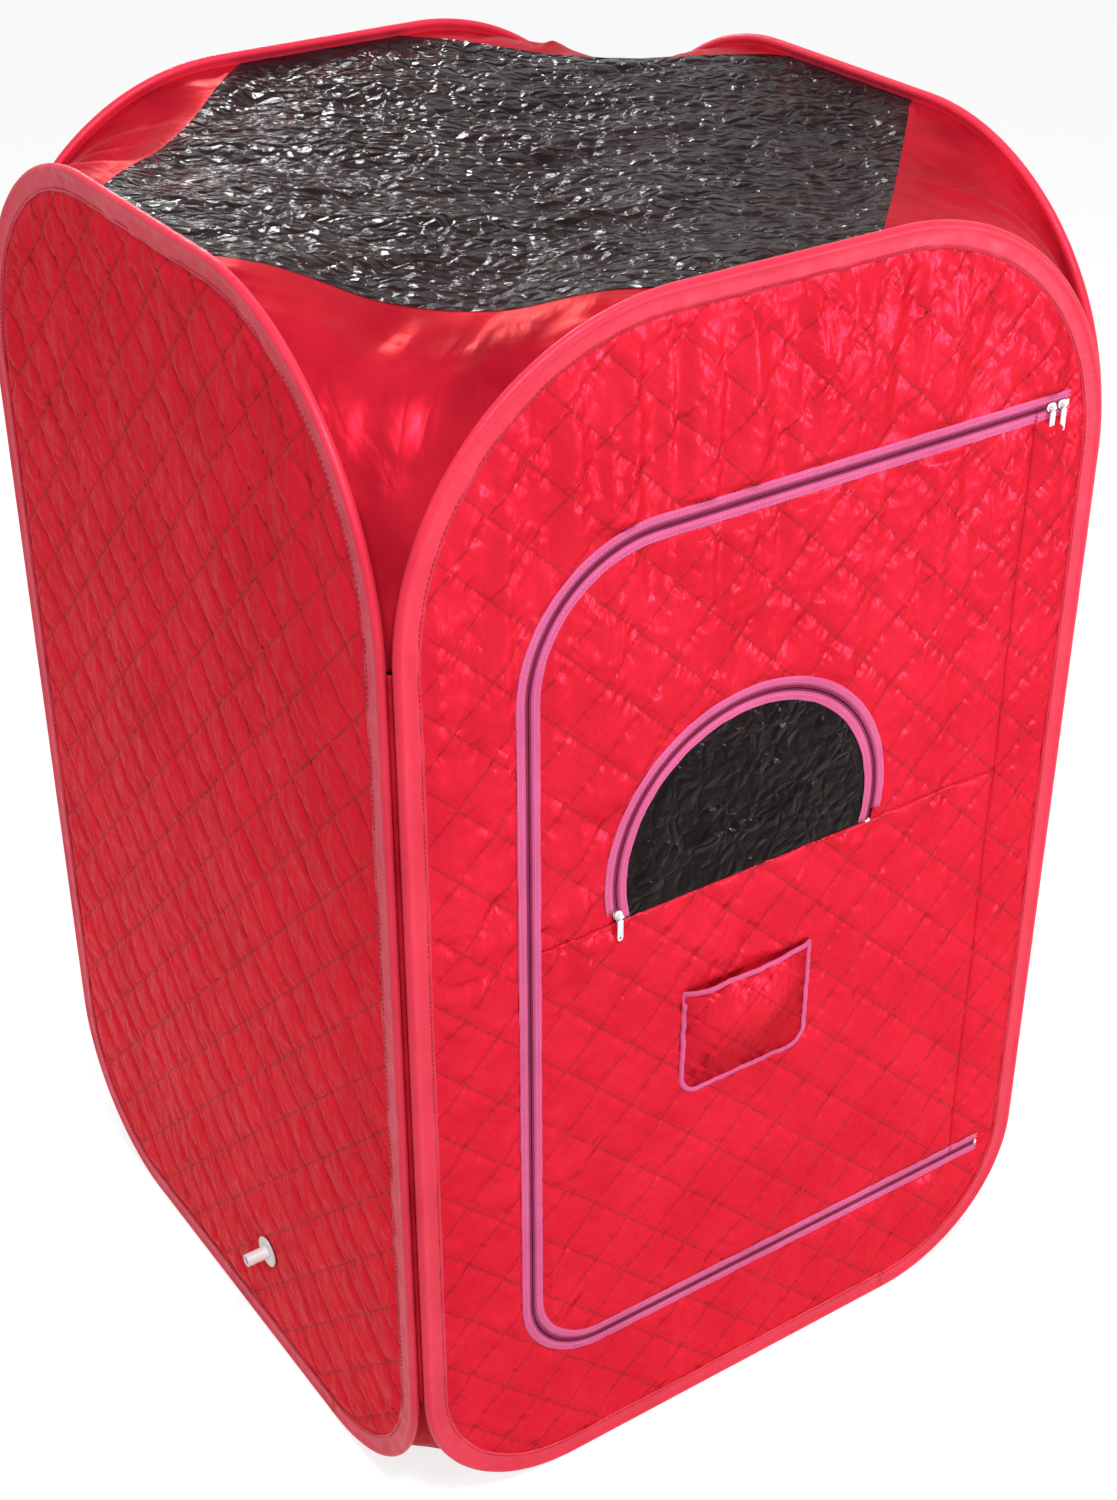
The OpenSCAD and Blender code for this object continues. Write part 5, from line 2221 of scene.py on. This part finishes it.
@dataclass
class Hardware:
    """The carried-over hard parts: sliders, pulls, stops, inlet, wires and sleeves.

    Attributes:
        shop: The workshop.
    """

    shop: Workshop

    def build(self) -> None:
        """Gives every carried-over part its finish and softened edges."""
        for name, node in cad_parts.items():
            if node.hide_render:
                continue
            finish, width = self.finish_of(name)
            self.shop.wardrobe.dress(node, finish)
            if width:
                weld = node.modifiers.new("merge", "WELD")
                weld.merge_threshold = 1e-6
                bevel = node.modifiers.new("edges", "BEVEL")
                bevel.width, bevel.segments, bevel.limit_method = width, 2, "ANGLE"
                bevel.angle_limit = math.radians(40)
                bevel.use_clamp_overlap = True
            log.info("%s: carried over with %s", name, finish.name)

    def finish_of(self, name: str) -> tuple[Finish, float]:
        """A hard part's finish and edge width.

        Args:
            name: The CAD node's name.

        Returns:
            The finish, and the width of its softened edges or 0.
        """
        if name.endswith("_wire") or name.endswith("_crimp"):
            return STEEL, 0.0
        if name == "steam_inlet_gasket":
            return RUBBER, 0.0002
        if name.startswith("steam_inlet"):
            return WHITE_PLASTIC, 0.0005
        return WHITE_METAL, 0.00025


@dataclass
class Studio:
    """The camera, lamps, floor and surroundings.

    Attributes:
        place: The camera's place in metres.
        azimuth: The way it looks, in degrees from +X.
        elevation: Its tilt above the level, in degrees.
        lens: Focal length on a 36 mm sensor.
    """

    place: Triple = (-1.3302, -2.0282, 2.1875)
    azimuth: float = 55.93
    elevation: float = -31.93
    lens: float = 55.39

    def camera(self) -> None:
        """Makes the camera."""
        data = bpy.data.cameras.new("camera")
        data.lens, data.sensor_width, data.clip_start, data.clip_end = self.lens, 36.0, 0.05, 50.0
        made = bpy.data.objects.new("camera", data)
        a, e = math.radians(self.azimuth), math.radians(self.elevation)
        ahead = Vector((math.cos(e) * math.cos(a), math.cos(e) * math.sin(a), math.sin(e)))
        made.location = self.place
        made.rotation_mode = "QUATERNION"
        made.rotation_quaternion = ahead.to_track_quat("-Z", "Y")
        bpy.context.scene.collection.objects.link(made)
        bpy.context.scene.camera = made

    def lamp(
        self,
        name: str,
        place: Triple,
        aim: Triple,
        size: float,
        power: float,
        mirrored: bool = True,
    ) -> None:
        """Makes a soft square lamp.

        Args:
            name: Its name.
            place: Where it hangs.
            aim: What it shines at.
            size: The length of its side.
            power: Its power in watts.
            mirrored: Whether it shows in reflections.
        """
        data = bpy.data.lights.new(name, "AREA")
        data.energy, data.size = power, size
        made = bpy.data.objects.new(name, data)
        made.location = place
        made.rotation_mode = "QUATERNION"
        made.rotation_quaternion = (Vector(aim) - Vector(place)).to_track_quat("-Z", "Y")
        made.visible_glossy = mirrored
        bpy.context.scene.collection.objects.link(made)

    def white_ray(self, t: Tree) -> bpy.types.NodeSocket:
        """Whether a ray is the camera's, a reflection or through glass."""
        path = t.add("ShaderNodeLightPath")
        seen = t.math("MAXIMUM", path.outputs["Is Camera Ray"], path.outputs["Is Glossy Ray"])
        return t.math("MAXIMUM", seen, path.outputs["Is Transmission Ray"])

    def build(self) -> None:
        """Makes the camera, lamps, floor and world."""
        self.camera()
        self.lamp("key", (-0.7, -1.9, 3.5), (0, -0.2, 0.7), 0.6, 88)
        self.lamp("gloss", (1.5, -2.3, 0.9), (0, -0.45, 0.8), 0.5, 26)
        self.lamp("fill", (-3.0, -0.6, 2.2), (0, 0, 0.7), 2.2, 10, mirrored=False)
        self.lamp("top", (0.2, 0.4, 3.6), (0, 0, 1.2), 1.4, 24, mirrored=False)
        self.lamp("rear", (1.6, 2.8, 2.4), (0, 0, 0.8), 2.0, 20, mirrored=False)
        self.lamp("glint", (0.9, 2.6, 2.3), (0, 0, 1.4), 0.3, 18)
        mesh = bpy.data.meshes.new("floor")
        mesh.from_pydata(
            [(-40, -40, -0.0015), (40, -40, -0.0015), (40, 40, -0.0015), (-40, 40, -0.0015)], [],
            [(0, 1, 2, 3)],
        )
        floor = bpy.data.objects.new("floor", mesh)
        bpy.context.scene.collection.objects.link(floor)
        material = bpy.data.materials.new("pale_floor")
        material.use_nodes = True
        material.node_tree.nodes.clear()
        t = Tree(material.node_tree)
        plain = t.add("ShaderNodeBsdfDiffuse", {"Color": (0.80, 0.80, 0.80, 1)})
        soft = t.add("ShaderNodeBsdfDiffuse", {"Color": (0.32, 0.32, 0.32, 1)})
        glow = t.add("ShaderNodeEmission", {"Color": (1, 1, 1, 1), "Strength": 0.80})
        both = t.add("ShaderNodeAddShader", {0: soft.outputs[0], 1: glow.outputs[0]})
        mix = t.add("ShaderNodeMixShader", {0: self.white_ray(t), 1: plain.outputs[0], 2: both.outputs[0]})
        end = t.add("ShaderNodeOutputMaterial")
        t.tree.links.new(mix.outputs[0], end.inputs[0])
        mesh.materials.append(material)
        world = bpy.data.worlds.new("studio")
        world.use_nodes = True
        world.node_tree.nodes.clear()
        t = Tree(world.node_tree)
        strength = t.ramp(self.white_ray(t), 0.0, 1.0, 0.40, 1.0)
        sky = t.add("ShaderNodeBackground", {"Color": (1, 1, 1, 1), "Strength": strength})
        end = t.add("ShaderNodeOutputWorld")
        t.tree.links.new(sky.outputs[0], end.inputs[0])
        bpy.context.scene.world = world
        bpy.context.scene.view_settings.view_transform = "Standard"


# ---------------------------------------------------------------- main


def corner_droop(m: Measures, x: Array, y: Array) -> Array:
    """How far the roof's film and gussets hang down near each corner, most at the front left.

    Args:
        m: The cabin's measures.
        x: Positions in the cabin.
        y: Positions in the cabin.

    Returns:
        Depths, nought at the walls.
    """
    walls = smooth(np.minimum(m.half_width - 0.004 - np.abs(x), m.half_depth - 0.004 - np.abs(y)) / 0.13)
    total = np.zeros_like(x)
    for sx, sy, depth in ((-1, -1, 0.038), (1, -1, 0.012), (-1, 1, 0.016), (1, 1, 0.014)):
        off = np.hypot(x - sx * 0.29, y - sy * 0.29)
        total = total + depth * np.exp(-((off / 0.17) ** 2))
    return total * walls


def roof_height(m: Measures) -> Field:
    """The crinkled roof film's height.

    Args:
        m: The cabin's measures.

    Returns:
        A function of positions in the cabin.
    """
    level = m.height - m.gusset_inset + 0.0007
    reach = m.half_width - m.wall_half
    corner = 2 * m.half_width - (reach + m.top_radius + m.roof_ledge - 0.002)

    def height(x: Array, y: Array) -> Array:
        """Heights at positions in the cabin."""
        edge = np.minimum(m.half_width - 0.0032 - np.abs(x), m.half_depth - 0.0032 - np.abs(y))
        edge = np.minimum(edge, (corner - np.abs(x) - np.abs(y)) / ROOT_TWO)
        near = smooth(edge / 0.045)
        c, s = 0.83, -0.56
        a, b = x * c + y * s, -x * s + y * c
        wide = ridges(a / 0.30 + 0.3 * noise(x / 0.2, y / 0.2, 61), b / 0.10, 62) - 0.55
        cross = ridges(b / 0.22 + 0.4 * noise(x / 0.1, y / 0.1, 63), a / 0.16, 64) - 0.55
        fine = ridges(a / 0.040, b / 0.030, 65, 2) - 0.5
        sag = 0.030 * smooth(edge / 0.40)
        crumple = 0.0085 * wide + 0.0070 * cross + 0.0016 * fine
        return level - sag - corner_droop(m, x, y) + near * crumple - 0.0015 * near

    return height


def floor_height(m: Measures) -> Field:
    """The floor sheet's height.

    Args:
        m: The cabin's measures.

    Returns:
        A function of positions in the cabin.
    """
    def height(x: Array, y: Array) -> Array:
        """Heights at positions in the cabin."""
        edge = np.minimum(m.half_width - np.abs(x), m.half_depth - np.abs(y))
        return 0.0006 + smooth(edge / 0.06) * 0.0030 * np.maximum(clouds(x / 0.12, y / 0.12, 51), 0)

    return height


def main() -> None:
    """Builds the cabin's looks piece by piece."""
    logging.basicConfig(level=logging.INFO, format="%(message)s")
    Studio().build()
    m = Measures.from_frame()
    wardrobe = Wardrobe()
    shop = Workshop(m, wardrobe, Rows(wardrobe))
    sizes = DoorSizes()
    front = FrontWall(shop, Side.FRONT, Relief(m, 10, door=sizes), door=sizes)
    front.build()
    Wall(shop, Side.LEFT, Relief(m, 20, inlet=INLET_PLACE, folds=0.0018, waves=0.0040, puff=0.0036)).build()
    Wall(shop, Side.BACK, Relief(m, 30, folds=0.0024)).build()
    Wall(shop, Side.RIGHT, Relief(m, 40, folds=0.0024)).build()
    Door(front, ZipRun(shop)).build()
    Pocket(front).build()
    reach = m.half_width - m.wall_half
    lap = 0.002
    CabinSheet(
        shop,
        name="roof_film",
        node="roof_film",
        slot="roof_film",
        finish=ROOF,
        face=m.tape_face,
        cut=reach + m.top_radius + m.roof_ledge - lap,
        step=0.0058,
        height=roof_height(m),
    ).build()
    CabinSheet(
        shop,
        name="floor_cloth",
        node="floor_sheet",
        slot="floor_cloth",
        finish=FLOOR_CLOTH,
        face=m.tape_face + 0.0004,
        cut=reach + m.bottom_radius + m.floor_ramp - lap,
        step=0.014,
        height=floor_height(m),
    ).build()
    Gussets(shop, roof=True, sag=0.030).build()
    Gussets(shop, roof=False, sag=0.014).build()
    CornerSeams(shop).build()
    Hardware(shop).build()
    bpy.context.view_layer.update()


if __name__ == "__main__":
    main()
